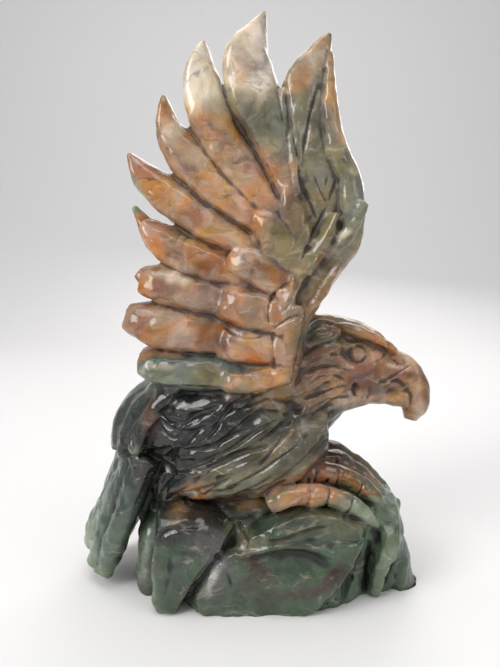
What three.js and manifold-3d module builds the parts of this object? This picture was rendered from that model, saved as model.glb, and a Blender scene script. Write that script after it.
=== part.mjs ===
// An eagle carved from one block of jasper: a bird perched on a rock, leaning forward, with both
// wings raised and its tail hanging behind the rock. The bird faces +X, the side that shows most
// carving faces -Y, and +Z is up. It stands on the rock's flat underside, and the origin is at
// the middle of the object's box, on the underside. Lengths are in millimetres.
//
// The carving is drawn as a pattern in the side view: x to the front, z up, and "out" for the
// distance from the bird's middle plane. LENGTH, THICKNESS and HEIGHT set how large it is made,
// and the pattern's own numbers are its proportions.
import * as THREE from "three";
import { mergeVertices } from "three/addons/utils/BufferGeometryUtils.js";
import Module from "manifold-3d";

const LENGTH = 128; // tip of the tail to the front of the beak
const THICKNESS = 61; // across the rock, from its near face to its far one
const HEIGHT = 190; // underside of the rock to the highest feather tip
const NEAR = -1; // the side that faces -Y
const FAR = 1; // the side that faces +Y

const wasm = await Module();
wasm.setup();

const lerp = THREE.MathUtils.lerp;

// The value at share s (0 to 1) along a list of numbers, in straight steps.
function along(list, s) {
  const at = Math.min(s, 1) * (list.length - 1);
  const i = Math.min(Math.floor(at), list.length - 2);
  return lerp(list[i], list[i + 1], at - i);
}

// A smooth curve through [x, z] or [x, y, z] points.
function curveOf(points) {
  const made = points.map((p) =>
    p.length === 2 ? new THREE.Vector3(p[0], 0, p[1]) : new THREE.Vector3(...p),
  );
  return new THREE.CatmullRomCurve3(made, false, "centripetal");
}

// Positions and triangles as a solid, turned to face outwards.
function solidFrom(positions, faces) {
  const mesh = { numProp: 3, vertProperties: positions, triVerts: faces };
  const made = new wasm.Manifold(new wasm.Mesh(mesh));
  if (made.volume() > 0) return made;
  const turned = faces.slice();
  for (let k = 0; k < turned.length; k += 3) {
    [turned[k + 1], turned[k + 2]] = [turned[k + 2], turned[k + 1]];
  }
  return new wasm.Manifold(new wasm.Mesh({ ...mesh, triVerts: turned }));
}

// A closed solid through rings of points, each ring with as many points as the next, closed at
// both ends by fans from the middles of the end rings, moved by the two swells.
function skin(rings, swells = [new THREE.Vector3(), new THREE.Vector3()]) {
  const count = rings[0].length;
  const faces = [];
  for (let r = 0; r + 1 < rings.length; r++) {
    for (let i = 0; i < count; i++) {
      const a = r * count + i;
      const b = r * count + ((i + 1) % count);
      faces.push(a, b, b + count, a, b + count, a + count);
    }
  }
  const last = (rings.length - 1) * count;
  const ends = [rings[0], rings[rings.length - 1]].map((ring, k) => {
    const sum = ring.reduce((total, p) => total.add(p), new THREE.Vector3());
    return sum.divideScalar(count).add(swells[k]);
  });
  const first = rings.length * count;
  for (let i = 0; i < count; i++) {
    const next = (i + 1) % count;
    faces.push(first, next, i, first + 1, last + i, last + next);
  }
  const positions = [...rings.flat(), ...ends].flatMap((p) => [p.x, p.y, p.z]);
  return solidFrom(new Float32Array(positions), new Uint32Array(faces));
}

// An egg at [x, y, z] with its three half lengths, leaning by a pitch in degrees in the side view.
function egg(centre, halves, pitch = 0, sides = 12) {
  const ball = new THREE.SphereGeometry(1, sides, Math.round(sides * 0.6));
  ball.scale(...halves).rotateY(THREE.MathUtils.degToRad(pitch)).translate(...centre);
  ball.deleteAttribute("normal");
  ball.deleteAttribute("uv");
  const merged = mergeVertices(ball, 1e-4);
  return solidFrom(merged.attributes.position.array, new Uint32Array(merged.index.array));
}

const joined = (solids) => wasm.Manifold.union(solids);

// A shingle's cross-section: [across, depth] pairs, across from -1 at the proud lower edge to 1
// at the upper edge that is tucked under its neighbour, depth from 0 at the back to 1 in front.
const SHINGLE = [
  [1.0, 0.2],
  [0.38, 0.95],
  [-0.88, 1.0],
  [-1.0, 0.66],
  [-0.86, 0.0],
];

// A feather: a flat blade in the side view. spine is its middle line of [x, z] points from root to
// tip, half its half widths along it, and out its [back, front] distances at the root and the tip.
const TIP_THINNING = 0.6; // how much of its thickness a blade keeps at its very tip
const THINNING_FROM = 0.75; // share of its length where the thinning starts
function feather(side, { spine, half, out, stations = 5 }) {
  const path = curveOf(spine);
  const rings = [];
  for (let i = 0; i <= stations; i++) {
    const s = i / stations;
    const at = path.getPoint(s);
    const heading = path.getTangent(s);
    const across = new THREE.Vector3(heading.z, 0, -heading.x);
    const back = lerp(out[0][0], out[1][0], s);
    const front = lerp(out[0][1], out[1][1], s);
    const late = Math.max(0, (s - THINNING_FROM) / (1 - THINNING_FROM));
    const thinned = lerp(1, TIP_THINNING, late * late);
    const middle = (back + front) / 2;
    const width = along(half, s);
    rings.push(
      SHINGLE.map(([u, d]) => {
        const p = at.clone().addScaledVector(across, u * width);
        p.y = side * (middle + (d - 0.5) * (front - back) * thinned);
        return p;
      }),
    );
  }
  return skin(rings);
}

// A round limb along a path of [x, out, z] points, with its half widths across the bird and its
// half heights in the side view.
function limb(side, { path, wide, deep, sides = 8, stations = 8 }) {
  const line = curveOf(path.map(([x, out, z]) => [x, side * out, z]));
  const rings = [];
  for (let i = 0; i <= stations; i++) {
    const s = i / stations;
    const heading = line.getTangent(s);
    const up = new THREE.Vector3(-heading.z, 0, heading.x).normalize();
    const ring = [];
    for (let k = 0; k < sides; k++) {
      const angle = (2 * Math.PI * (k + 0.5)) / sides;
      const p = line.getPoint(s).addScaledVector(up, along(deep, s) * Math.sin(angle));
      p.y += along(wide, s) * Math.cos(angle);
      ring.push(p);
    }
    rings.push(ring);
  }
  return skin(rings);
}

// A facet of the rock: an outline of [x, z] points in the side view, standing from its back
// distance to its front one, drawn in towards the front by a share and swelling in the middle.
const SLAB_EDGE = 0.3; // share of the way in where the edge turns to the front
function slab(side, { outline, out, inset = 0.2, swell = 1 }) {
  const middle = outline
    .reduce((sum, [x, z]) => sum.add(new THREE.Vector3(x, 0, z)), new THREE.Vector3())
    .divideScalar(outline.length);
  const ringAt = (y, share) =>
    outline.map(([x, z]) => {
      const p = new THREE.Vector3(x, 0, z).lerp(middle, share);
      return p.setY(side * y);
    });
  const edge = lerp(out[1], out[0], SLAB_EDGE);
  const rings = [ringAt(out[0], 0), ringAt(edge, 0), ringAt(out[1], inset)];
  return skin(rings, [new THREE.Vector3(), new THREE.Vector3(0, side * swell, 0)]);
}

// Upright slices through the torso, neck and skull, from the rump to the root of the beak:
// [x, middle height, half height, half width].
const TORSO = [
  [-46, 54, 8, 8],
  [-38, 56, 14, 15],
  [-26, 57, 19, 21],
  [-12, 58, 23, 23.5],
  [2, 60, 26, 24],
  [13, 64.5, 27, 20.5],
  [22, 72, 23.8, 16],
  [32, 77.6, 17.2, 13.2],
  [40, 77.2, 14.8, 11.4],
  [46, 76.5, 11.4, 9],
  [49, 75.2, 8, 6.6],
];
// The same through a thigh, whose middle is THIGH_OUT off the bird's middle plane.
const THIGH_OUT = 13;
const THIGH = [
  [-30, 38, 3.5, 4],
  [-22, 42, 8.5, 8.5],
  [-10, 47, 13.5, 12],
  [4, 51, 16.5, 13],
  [15, 54, 15, 11.5],
  [24, 56, 9, 7],
];

// The lower back, which fills the corner between the thighs, the tail and the rock.
const LOWER_BACK = { centre: [-28.6, 0, 37], halves: [9.4, 18, 14] };

// The slice at x, in straight steps between the ones listed.
function sliceAt(slices, x) {
  const i = slices.findIndex((slice) => slice[0] >= x);
  if (i <= 0) return null;
  const share = (x - slices[i - 1][0]) / (slices[i][0] - slices[i - 1][0]);
  return slices[i].map((v, k) => lerp(slices[i - 1][k], v, share));
}

function sliced(slices, out, sides) {
  const rings = slices.map(([x, z, tall, wide]) => {
    const ring = [];
    for (let k = 0; k < sides; k++) {
      const angle = (2 * Math.PI * k) / sides;
      ring.push(new THREE.Vector3(x, out + wide * Math.cos(angle), z + tall * Math.sin(angle)));
    }
    return ring;
  });
  return skin(rings);
}

// How far the flank stands out from the middle plane at a point of the side view.
const LEAST_FLANK = 3;
function flankAt(x, z) {
  const reach = [
    [TORSO, 0],
    [THIGH, THIGH_OUT],
  ].map(([slices, out]) => {
    const slice = sliceAt(slices, x);
    if (!slice) return 0;
    const rise = (z - slice[1]) / slice[2];
    return rise * rise < 1 ? out + slice[3] * Math.sqrt(1 - rise * rise) : 0;
  });
  return Math.max(LEAST_FLANK, ...reach);
}

// A lock of feathers that lies on the flank, with its lower edge proud. [across, lift] pairs.
const LOCK = [
  [1.0, 0.1],
  [0.1, 0.9],
  [-0.8, 1.0],
  [-1.0, 0.3],
];
const LOCK_ROOT = 2.5; // how deep a lock's back sits in the flank
function lock(side, { spine, half, rise = 1.8, stations = 3 }) {
  const path = curveOf(spine);
  const rings = [];
  for (let i = 0; i <= stations; i++) {
    const s = i / stations;
    const at = path.getPoint(s);
    const heading = path.getTangent(s);
    const down = new THREE.Vector3(-heading.z, 0, heading.x).multiplyScalar(along(half, s));
    const place = (u, lift) => {
      const p = at.clone().addScaledVector(down, -u);
      p.y = side * (flankAt(p.x, p.z) + lift);
      return p;
    };
    const front = LOCK.map(([u, lift]) => place(u, lift * rise));
    const back = [place(0, -LOCK_ROOT)];
    rings.push([...front, ...back]);
  }
  return skin(rings);
}

// The flight feathers of a wing, from the leading one at the top to the last one on the back.
const FLIGHT = [
  {
    spine: [[30.6, 124], [30.4, 138], [25.6, 150], [23.6, 163], [23.4, 178]],
    half: [4.6, 5, 4.6, 3, 1.2],
    out: [[9, 23], [12, 20]],
  },
  {
    spine: [[24, 122], [21.5, 138], [17.8, 152], [16.4, 165], [19, 175], [23.4, 184]],
    half: [9, 9.5, 9.5, 9.8, 6, 0.9],
    out: [[10, 21], [12, 19]],
  },
  {
    spine: [[14, 134], [13.6, 146], [13.4, 157], [15.6, 168]],
    half: [3, 4, 3.4, 0.8],
    out: [[10, 22.5], [12, 20]],
  },
  {
    spine: [[12.6, 132], [7, 150], [0.2, 165], [-2.4, 177], [2.8, 190]],
    half: [5, 7, 9, 8, 0.9],
    out: [[10, 22], [12, 20]],
  },
  {
    spine: [[6, 130], [-7, 147], [-14, 160], [-17, 171], [-16.4, 181.6]],
    half: [5, 7.4, 8, 6, 0.9],
    out: [[10, 22.5], [12, 20]],
  },
  {
    spine: [[2, 126], [-11.5, 137.5], [-21.5, 147.5], [-27.5, 156], [-28.8, 165]],
    half: [5, 7.4, 7.6, 4.6, 0.9],
    out: [[10, 22.5], [11.5, 20]],
  },
  {
    spine: [[-1, 119], [-15, 126.5], [-27, 134.5], [-35, 140.5], [-40.2, 147.6]],
    half: [5, 6.8, 7, 5, 0.9],
    out: [[10, 22.5], [11.5, 20]],
  },
  {
    spine: [[-3, 110], [-17, 114.5], [-28, 119.6], [-36.5, 126]],
    half: [6, 7, 6.6, 2.6],
    out: [[9.5, 22.5], [11, 20]],
  },
  {
    spine: [[-4, 101], [-18, 104], [-30, 106.6], [-38, 107.8]],
    half: [6.5, 7.2, 7, 4.6],
    out: [[9.5, 23], [10.5, 20.5]],
  },
  {
    spine: [[-4, 90], [-18, 91.6], [-32, 93.4], [-43, 95.6]],
    half: [7, 8, 8.2, 4.2],
    out: [[9, 23.5], [9.5, 20.5]],
  },
  {
    spine: [[-4, 78.5], [-18, 78.6], [-30, 79.4], [-39, 80.6]],
    half: [7, 7.6, 7.4, 4.4],
    out: [[8, 24], [7, 20.5]],
  },
];

// Two tips of the layer behind, which show past the edge of the near wing.
const UNDER_TIPS = [
  {
    spine: [[-22, 112], [-33, 121.5], [-40.2, 131.6]],
    half: [5, 4.6, 0.8],
    out: [[9, 14], [9.5, 13.5]],
  },
  {
    spine: [[-22, 103], [-33, 106.6], [-39.6, 110.4]],
    half: [5, 4.8, 2],
    out: [[9, 14], [9, 13.5]],
  },
];

// The short coverts that overlap the roots of the flight feathers, from the top one down.
const COVERTS = [
  { spine: [[17, 118], [12.6, 129], [9, 139.4]], half: [5.4, 5, 0.9], out: [[10, 24.5], [12, 23]] },
  { spine: [[17, 111], [8.6, 120.6], [1, 129.4]], half: [6, 8, 3], out: [[10, 26], [12, 24.5]] },
  {
    spine: [[14, 105.6], [3, 111.8], [-7.8, 116.4]],
    half: [6.4, 7, 5],
    out: [[10, 26.5], [12, 25]],
  },
  { spine: [[12, 97], [0, 99.4], [-11.4, 102]], half: [7, 7.4, 5.6], out: [[10, 27], [12, 25.5]] },
  { spine: [[10, 87], [-2, 88], [-12.2, 88.4]], half: [6, 6.6, 5.2], out: [[10, 27], [12, 25.5]] },
  {
    spine: [[10, 79.5], [-1, 77], [-11.4, 76.2]],
    half: [4, 5.2, 3.8],
    out: [[10, 27.5], [12, 26]],
  },
];

// The broad sheets behind the feathers: from the shoulder to the roots of the leading feathers,
// and under the fan of the others, so that the cuts between them don't go through near the root.
const WEB = {
  spine: [[6, 72], [5, 92], [12, 112], [20, 130], [20, 142]],
  half: [9, 10, 12, 12, 8],
  out: [[11, 19.5], [12, 18.5]],
};
const FAN = {
  spine: [[-8, 74], [-13, 92], [-14, 108], [-9, 124], [0, 138], [8, 150]],
  half: [12, 16, 16, 14, 11, 6],
  out: [[11, 18.5], [12, 17.5]],
};

// Leaf-like plates that run down the arm of the wing, from the wrist to the shoulder.
const ARM_PLATES = [
  {
    spine: [[32.6, 132], [27.6, 122], [20, 113]],
    half: [2.8, 4, 1.2],
    out: [[12, 23.5], [12, 24]],
  },
  { spine: [[24.6, 128], [19, 117], [13, 107]], half: [2, 4, 1.8], out: [[12, 24.5], [12, 25]] },
  { spine: [[26, 112.5], [20, 104.5], [15, 96]], half: [1.6, 3.2, 1.8], out: [[12, 23], [12, 24]] },
  {
    spine: [[12, 107], [7.8, 98], [7, 89], [7.8, 77]],
    half: [1.6, 3.6, 3.4, 2.2],
    out: [[12, 27.5], [12, 27]],
  },
  {
    spine: [[16, 101], [12.6, 92], [11.4, 84], [10.6, 74]],
    half: [1.6, 3.4, 3.2, 2.4],
    out: [[12, 26.5], [12, 27]],
  },
];
const HIDDEN_ARM_PLATES = 2; // the far wing carries only this many of the arm's plates

// The arm: the thick leading edge from the wing's root to its wrist.
const ARM = {
  path: [
    [5, 13, 66],
    [8, 15, 80],
    [12, 16, 95],
    [19, 16, 108],
    [27, 15.5, 119],
    [30, 15, 130],
    [27, 15, 142],
  ],
  wide: [11, 9.5, 8, 7, 6.6, 6, 5],
  deep: [8, 7, 6, 6.2, 6.4, 5.8, 4.4],
  sides: 8,
  stations: 8,
};

function wing(side) {
  const plates = side === NEAR ? ARM_PLATES : ARM_PLATES.slice(-HIDDEN_ARM_PLATES);
  const tips = side === NEAR ? UNDER_TIPS : [];
  const short = [...COVERTS, ...plates, ...tips].map((f) => feather(side, { stations: 3, ...f }));
  const sheets = [WEB, FAN].map((f) => feather(side, f));
  return [limb(side, ARM), ...sheets, ...FLIGHT.map((f) => feather(side, f)), ...short];
}

// Locks on the flank: below the wing, over the thigh and down to the tail.
const FLANK_LOCKS = [
  { spine: [[-2, 72], [-14, 69], [-24, 67.6], [-33, 70.6]], half: [2, 3.6, 3.6, 1] },
  { spine: [[-6, 66], [-16, 63.4], [-25, 62], [-32, 64]], half: [1.6, 3, 3, 0.8] },
  { spine: [[3, 70], [-7, 63.4], [-16, 57.4], [-28, 52.6]], half: [1.4, 3, 3.2, 0.5] },
  { spine: [[9, 64.5], [-1, 59], [-11, 54.2], [-25.5, 49]], half: [1.4, 3.2, 3.2, 0.5] },
  { spine: [[12, 61], [3, 54], [-8, 49], [-23, 43.4]], half: [1.4, 3.2, 3, 0.5] },
  { spine: [[15, 58], [5, 50.6], [-6, 44.4], [-18, 38.4]], half: [1.4, 3, 2.8, 0.5] },
  { spine: [[20, 57.5], [9, 49], [-1, 42.4], [-10, 36]], half: [1.6, 3, 2.8, 0.5] },
  { spine: [[24, 55], [13, 45.5], [4, 39], [-3, 33.6]], half: [1.6, 3.2, 2.8, 0.5] },
  { spine: [[-13, 50.6], [-22, 47], [-33, 41.4]], half: [1.6, 2.6, 0.5] },
  { spine: [[-13, 44.4], [-22, 41], [-34, 34.8]], half: [1.6, 2.8, 0.5] },
  { spine: [[-6, 38.6], [-16, 36.4], [-26, 31.6]], half: [1.6, 2.8, 0.5] },
];
const HIDDEN_FLANK_LOCKS = 7; // the far flank carries only the first ones

// Locks that stream back from the eye and the jaw to the shoulder.
const NECK_LOCKS = [
  { spine: [[31, 92], [25, 89.6], [18, 88.4], [11, 88]], half: [1, 2.6, 2.8, 1], rise: 1.2 },
  { spine: [[29, 86.4], [24, 84.4], [18, 82], [12, 79]], half: [1, 2.4, 2.6, 1], rise: 1.4 },
  { spine: [[30, 79], [25, 77.4], [19, 74.4], [12, 70.6]], half: [1, 2.6, 2.8, 1], rise: 1.5 },
  { spine: [[34, 73], [28, 71.6], [21, 68], [13, 64]], half: [1, 2.6, 2.8, 0.8], rise: 1.5 },
  { spine: [[37, 67], [30, 65], [23, 60.6], [16, 55]], half: [1, 2.6, 2.8, 0.8], rise: 1.4 },
];

const HIDDEN_NECK_LOCKS = 3; // the far side of the neck carries only the first ones

// Layers of blunt coverts that wrap the rump and the root of the tail.
const RUMP_FOLDS = [
  {
    spine: [[-26, 74], [-35, 64], [-40.4, 54], [-42, 45.6]],
    half: [3, 4.4, 4.2, 2.4],
    out: [[4, 19.5], [7, 17.5]],
  },
  {
    spine: [[-32, 73], [-40, 64], [-45, 54.6], [-47, 45.6]],
    half: [3, 3.8, 3.6, 2.2],
    out: [[1, 14.5], [4, 13]],
  },
];
const RUMP_RIDGE = {
  spine: [[-37, 71], [-44.6, 63.6], [-49.6, 55], [-51, 46.4]],
  half: [2.4, 3.4, 3.2, 2.2],
  out: [[-7, 7], [-6.5, 6.5]],
};

// Tail feathers: a middle one, then steps outwards on each side, each shorter than the last.
const TAIL_MIDDLE = {
  spine: [[-45.4, 48], [-52.6, 30.6], [-57.8, 19], [-61.6, 8]],
  half: [5, 4.6, 4.4, 3],
  out: [[-6, 6], [-5.5, 5.5]],
};
const TAIL_STEPS = [
  {
    spine: [[-42, 48], [-50.4, 28.6], [-54.9, 16.6], [-58.6, 5.6]],
    half: [5, 4.4, 4.3, 3],
    out: [[2, 13], [2, 11]],
  },
  {
    spine: [[-37.6, 48], [-44.6, 31], [-49.6, 17], [-53.8, 4]],
    half: [5.8, 5.4, 4.9, 3.2],
    out: [[4, 18.5], [6, 16]],
  },
];

function rumpAndTail() {
  const pairs = [NEAR, FAR].flatMap((side) => [...RUMP_FOLDS, ...TAIL_STEPS].map((f) => feather(side, f)));
  return [feather(NEAR, TAIL_MIDDLE), feather(NEAR, RUMP_RIDGE), ...pairs];
}

// The beak: the hooked upper half, and the short lower half under an open slit.
const UPPER_BEAK = {
  path: [[45, 0, 75.6], [52, 0, 74.4], [57, 0, 71.4], [58.8, 0, 66.6], [58, 0, 61.8], [56.9, 0, 56.8]],
  wide: [8.8, 7.6, 6.4, 5.6, 4.8, 2.2],
  deep: [8.4, 7.4, 5.2, 4.9, 4.9, 2.4],
  sides: 10,
  stations: 8,
};
const LOWER_BEAK = {
  path: [[34, 0, 68.4], [42, 0, 67.2], [49, 0, 66.6], [56, 0, 65.2]],
  wide: [9, 6.6, 5, 3.6],
  deep: [5.4, 4.2, 4.2, 4],
  sides: 8,
  stations: 4,
};
// The dark slit between them, cut into each side.
const MOUTH = {
  path: [[40.4, 9.4, 70.8], [45, 9, 71.2], [50, 8.4, 70.6], [55, 8, 68]],
  wide: [4, 5, 5, 5],
  deep: [0.4, 1.3, 1.6, 0.8],
  sides: 4,
  stations: 4,
};
const JAW_PIT = { x: 34, z: 69.8, out: 12.8, halves: [1.7, 3.4, 3.5], pitch: -6 };
// Ridges over and under the eye, the edge of the cere, and the recess that the eye sits in.
const BROW = {
  path: [[25, 10, 91], [31, 10.6, 91.4], [38, 10.6, 88.6], [46.5, 8.4, 84.4], [49.6, 6, 82.6]],
  wide: [1, 2.8, 3, 2.6, 1],
  deep: [1, 1.8, 2, 1.8, 0.8],
};
const CHEEK = {
  path: [[20, 13, 78.6], [26.4, 12.6, 79.2], [31, 12, 77.2], [38, 11, 77.6], [44.5, 8.6, 81]],
  wide: [1, 1.8, 2.2, 2, 1],
  deep: [0.8, 1.2, 1.4, 1.3, 0.8],
};
const CERE_EDGE = {
  path: [[54.6, 3.6, 80], [51.4, 6.4, 76], [46.5, 8.6, 72.6], [41, 9.6, 71.6]],
  wide: [1.4, 1.5, 1.6, 1.2],
  deep: [0.9, 1, 1.1, 0.9],
};
const EYE = { x: 34.9, z: 82.5, out: 11.4, radius: 2.7 };
const SOCKET = { x: 34.4, z: 82.6, out: 15, halves: [7.2, 4.2, 4], pitch: 12 };

function face(side) {
  const pits = [SOCKET, JAW_PIT].map((p) => egg([p.x, side * p.out, p.z], p.halves, p.pitch));
  const ridges = [BROW, CHEEK, CERE_EDGE].map((r) => limb(side, { sides: 5, stations: 5, ...r }));
  const eyeball = egg([EYE.x, side * EYE.out, EYE.z], [EYE.radius, EYE.radius * 0.6, EYE.radius], 0, 12);
  return { cuts: [...pits, limb(side, MOUTH)], added: [...ridges, eyeball] };
}

// Toes that grip the rock, each with swollen joints between dark cuts and a claw at its end.
const TOES = [
  [
    [4, 23, 34.6],
    [9, 24, 37.4],
    [16.5, 24.6, 38.4],
    [23.4, 24.4, 38],
    [31.6, 24, 34.8],
    [37.4, 23, 30],
    [40, 22.4, 26.4],
  ],
  [
    [10, 15, 38.5],
    [20, 16, 42.6],
    [27.6, 16.4, 42.2],
    [35, 16, 38.6],
    [41, 15, 33.6],
    [44.4, 14.6, 28.6],
  ],
  [[12, 5, 40], [22, 6, 44], [30, 6.4, 43], [37, 6, 38.8], [43.4, 6, 33.4], [47.4, 6, 27.6]],
];
const HIDDEN_TOES = [
  [[14, -6, 41], [24, -6, 44.6], [32, -6, 42.4], [40, -6.4, 37], [47, -7, 31], [51.6, -7, 25.6]],
  [
    [4, -23, 35],
    [14, -22, 37.4],
    [23, -21, 38],
    [32, -19.6, 35.6],
    [40, -18.4, 30.6],
    [44, -18, 25.4],
  ],
];
const TOE_WIDE = [4.6, 4.9, 3.9, 4.8, 3.6, 4.4, 3.2, 2.4, 0.8];
const TOE_DEEP = [3.6, 3.9, 3.1, 3.8, 3, 3.4, 2.6, 2, 0.7];
function toes() {
  const shape = { wide: TOE_WIDE, deep: TOE_DEEP, sides: 6, stations: 8 };
  return [...TOES, ...HIDDEN_TOES].map((path) => limb(NEAR, { path, ...shape }));
}

// The rock: level outlines [height, middle x, half length, half width], roughened all round by
// a few waves, with broken facets laid over its sides.
const ROCK_LEVELS = [
  [0, 7, 44, 27],
  [8, 7, 43, 27],
  [17, 7, 40, 25.5],
  [25, 5, 38, 23],
  [31, 2, 34, 19],
  [37, 0, 24, 12],
];
const ROCK_SIDES = 14;
const ROCK_WAVES = [
  { turns: 3, size: 0.03, shift: 0.6 },
  { turns: 5, size: 0.03, shift: 2.1 },
];
function rockCore() {
  const rings = ROCK_LEVELS.map(([z, x, long, wide], level) => {
    const ring = [];
    for (let k = 0; k < ROCK_SIDES; k++) {
      const angle = (2 * Math.PI * k) / ROCK_SIDES;
      const wave = ROCK_WAVES.reduce(
        (sum, w) => sum + w.size * Math.sin(w.turns * angle + w.shift + 0.5 * level),
        1,
      );
      ring.push(new THREE.Vector3(x + long * wave * Math.cos(angle), wide * wave * Math.sin(angle), z));
    }
    return ring;
  });
  return skin(rings);
}

// Facets of the near side: the leaf-shaped pillar under the tail, the broad swelling face, the
// shelf over it, the finger at its right and the foot behind that.
const NEAR_FACETS = [
  {
    outline: [
      [-34, 12],
      [-34.4, 2],
      [-32, -2],
      [-26, -2],
      [-22.6, 3.4],
      [-18.6, 10],
      [-12, 18.6],
      [-6.6, 27],
      [-15, 31.4],
      [-24, 33],
      [-32.4, 33.4],
      [-33.4, 22],
    ],
    out: [6, 29.6],
    inset: 0.2,
    swell: 0.4,
  },
  {
    outline: [
      [-24, 4],
      [-21, -2],
      [-7, -3],
      [6, -3],
      [19, -1],
      [25, 4.4],
      [29, 9],
      [33, 15],
      [37, 25.4],
      [23, 24.6],
      [9.4, 25.4],
      [0, 24.4],
      [-12.4, 21],
      [-19, 12],
    ],
    out: [8, 29.4],
    inset: 0.14,
    swell: 2,
  },
  {
    outline: [
      [-9, 20.6],
      [0, 20.6],
      [10, 23],
      [23, 22.6],
      [36.6, 24.6],
      [36.6, 29],
      [29, 32.8],
      [21, 34.6],
      [13, 33.8],
      [4, 30],
      [-5, 26],
    ],
    out: [8, 28.6],
    inset: 0.2,
    swell: 0.6,
  },
  {
    outline: [
      [43, 27],
      [39.6, 16.5],
      [36.8, 3],
      [38.4, -2],
      [42, -2],
      [45.6, 8],
      [49.4, 20],
      [49, 27.4],
    ],
    out: [0, 21],
    inset: 0.3,
    swell: 0.8,
  },
  {
    outline: [[36, 24], [34, 10], [31, -2], [48, -2], [50, 12], [50, 24], [48, 30]],
    out: [0, 16.4],
    inset: 0.12,
    swell: 0,
  },
  {
    outline: [[38, 22], [37, 31], [43, 33], [50, 30.4], [52, 20], [45, 18]],
    out: [-10, 17],
    inset: 0.3,
    swell: 0.6,
  },
];
// Stumps at the rock's two ends, along paths of [x, out, z] points.
const ROCK_ENDS = [
  {
    path: [[48.6, 2, 28], [49.4, 3, 16], [50.6, 3, 6], [51.4, 2, -3]],
    wide: [8, 11.5, 13, 14],
    deep: [3.4, 4.4, 5.6, 7.4],
    sides: 9,
    stations: 4,
  },
  {
    path: [[-33, 0, 30], [-35.6, 0, 18], [-36.6, 0, 6], [-36, 0, -3]],
    wide: [13, 17, 19, 17],
    deep: [5, 6, 7, 6],
    sides: 9,
    stations: 4,
  },
];
// The far side: three plain facets.
const FAR_FACETS = [
  {
    outline: [[-34, 8], [-30, -2], [-12, -2], [-4, 12], [-6, 27], [-22, 32], [-33, 26]],
    out: [6, 28],
    inset: 0.24,
    swell: 0.8,
  },
  {
    outline: [[-10, 6], [-6, -2], [20, -3], [30, 6], [33, 20], [20, 31], [2, 30], [-8, 20]],
    out: [6, 27.6],
    inset: 0.2,
    swell: 1.8,
  },
  {
    outline: [[28, 20], [25, 6], [28, -2], [50, -2], [52, 12], [49, 26], [36, 31]],
    out: [2, 20.4],
    inset: 0.28,
    swell: 0.8,
  },
];
// Hollows worn or cut into the rock: [centre, half lengths, pitch].
const ROCK_HOLLOWS = [
  [[15, -31.6, 18.6], [12.5, 3.4, 4.6], 6],
  [[-4.6, -30, 25.6], [2.2, 4, 4.6], -40],
  [[38.4, -20.4, 10], [0.9, 7.5, 11], 5],
  [[33.6, -26.6, 12.6], [3, 9, 15], 22],
];
function rock() {
  const facets = [
    ...NEAR_FACETS.map((facet) => slab(NEAR, facet)),
    ...FAR_FACETS.map((facet) => slab(FAR, facet)),
    ...ROCK_ENDS.map((shape) => limb(NEAR, shape)),
  ];
  const hollows = ROCK_HOLLOWS.map(([centre, halves, pitch]) => egg(centre, halves, pitch, 10));
  return joined([rockCore(), ...facets]).subtract(joined(hollows));
}

function eagle() {
  const near = face(NEAR);
  const far = face(FAR);
  const thighs = [THIGH_OUT, -THIGH_OUT].map((out) => sliced(THIGH, out, 10));
  const trunk = [sliced(TORSO, 0, 14), ...thighs, egg(LOWER_BACK.centre, LOWER_BACK.halves)];
  const beak = [limb(NEAR, UPPER_BEAK), limb(NEAR, LOWER_BEAK)];
  const head = joined([...trunk, ...beak]).subtract(joined([...near.cuts, ...far.cuts]));
  const locks = [
    ...[...FLANK_LOCKS, ...NECK_LOCKS].map((l) => lock(NEAR, l)),
    ...FLANK_LOCKS.slice(0, HIDDEN_FLANK_LOCKS).map((l) => lock(FAR, l)),
    ...NECK_LOCKS.slice(0, HIDDEN_NECK_LOCKS).map((l) => lock(FAR, l)),
  ];
  return joined([
    head,
    ...near.added,
    ...far.added,
    ...locks,
    ...wing(NEAR),
    ...wing(FAR),
    ...rumpAndTail(),
    ...toes(),
    rock(),
  ]);
}

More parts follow.
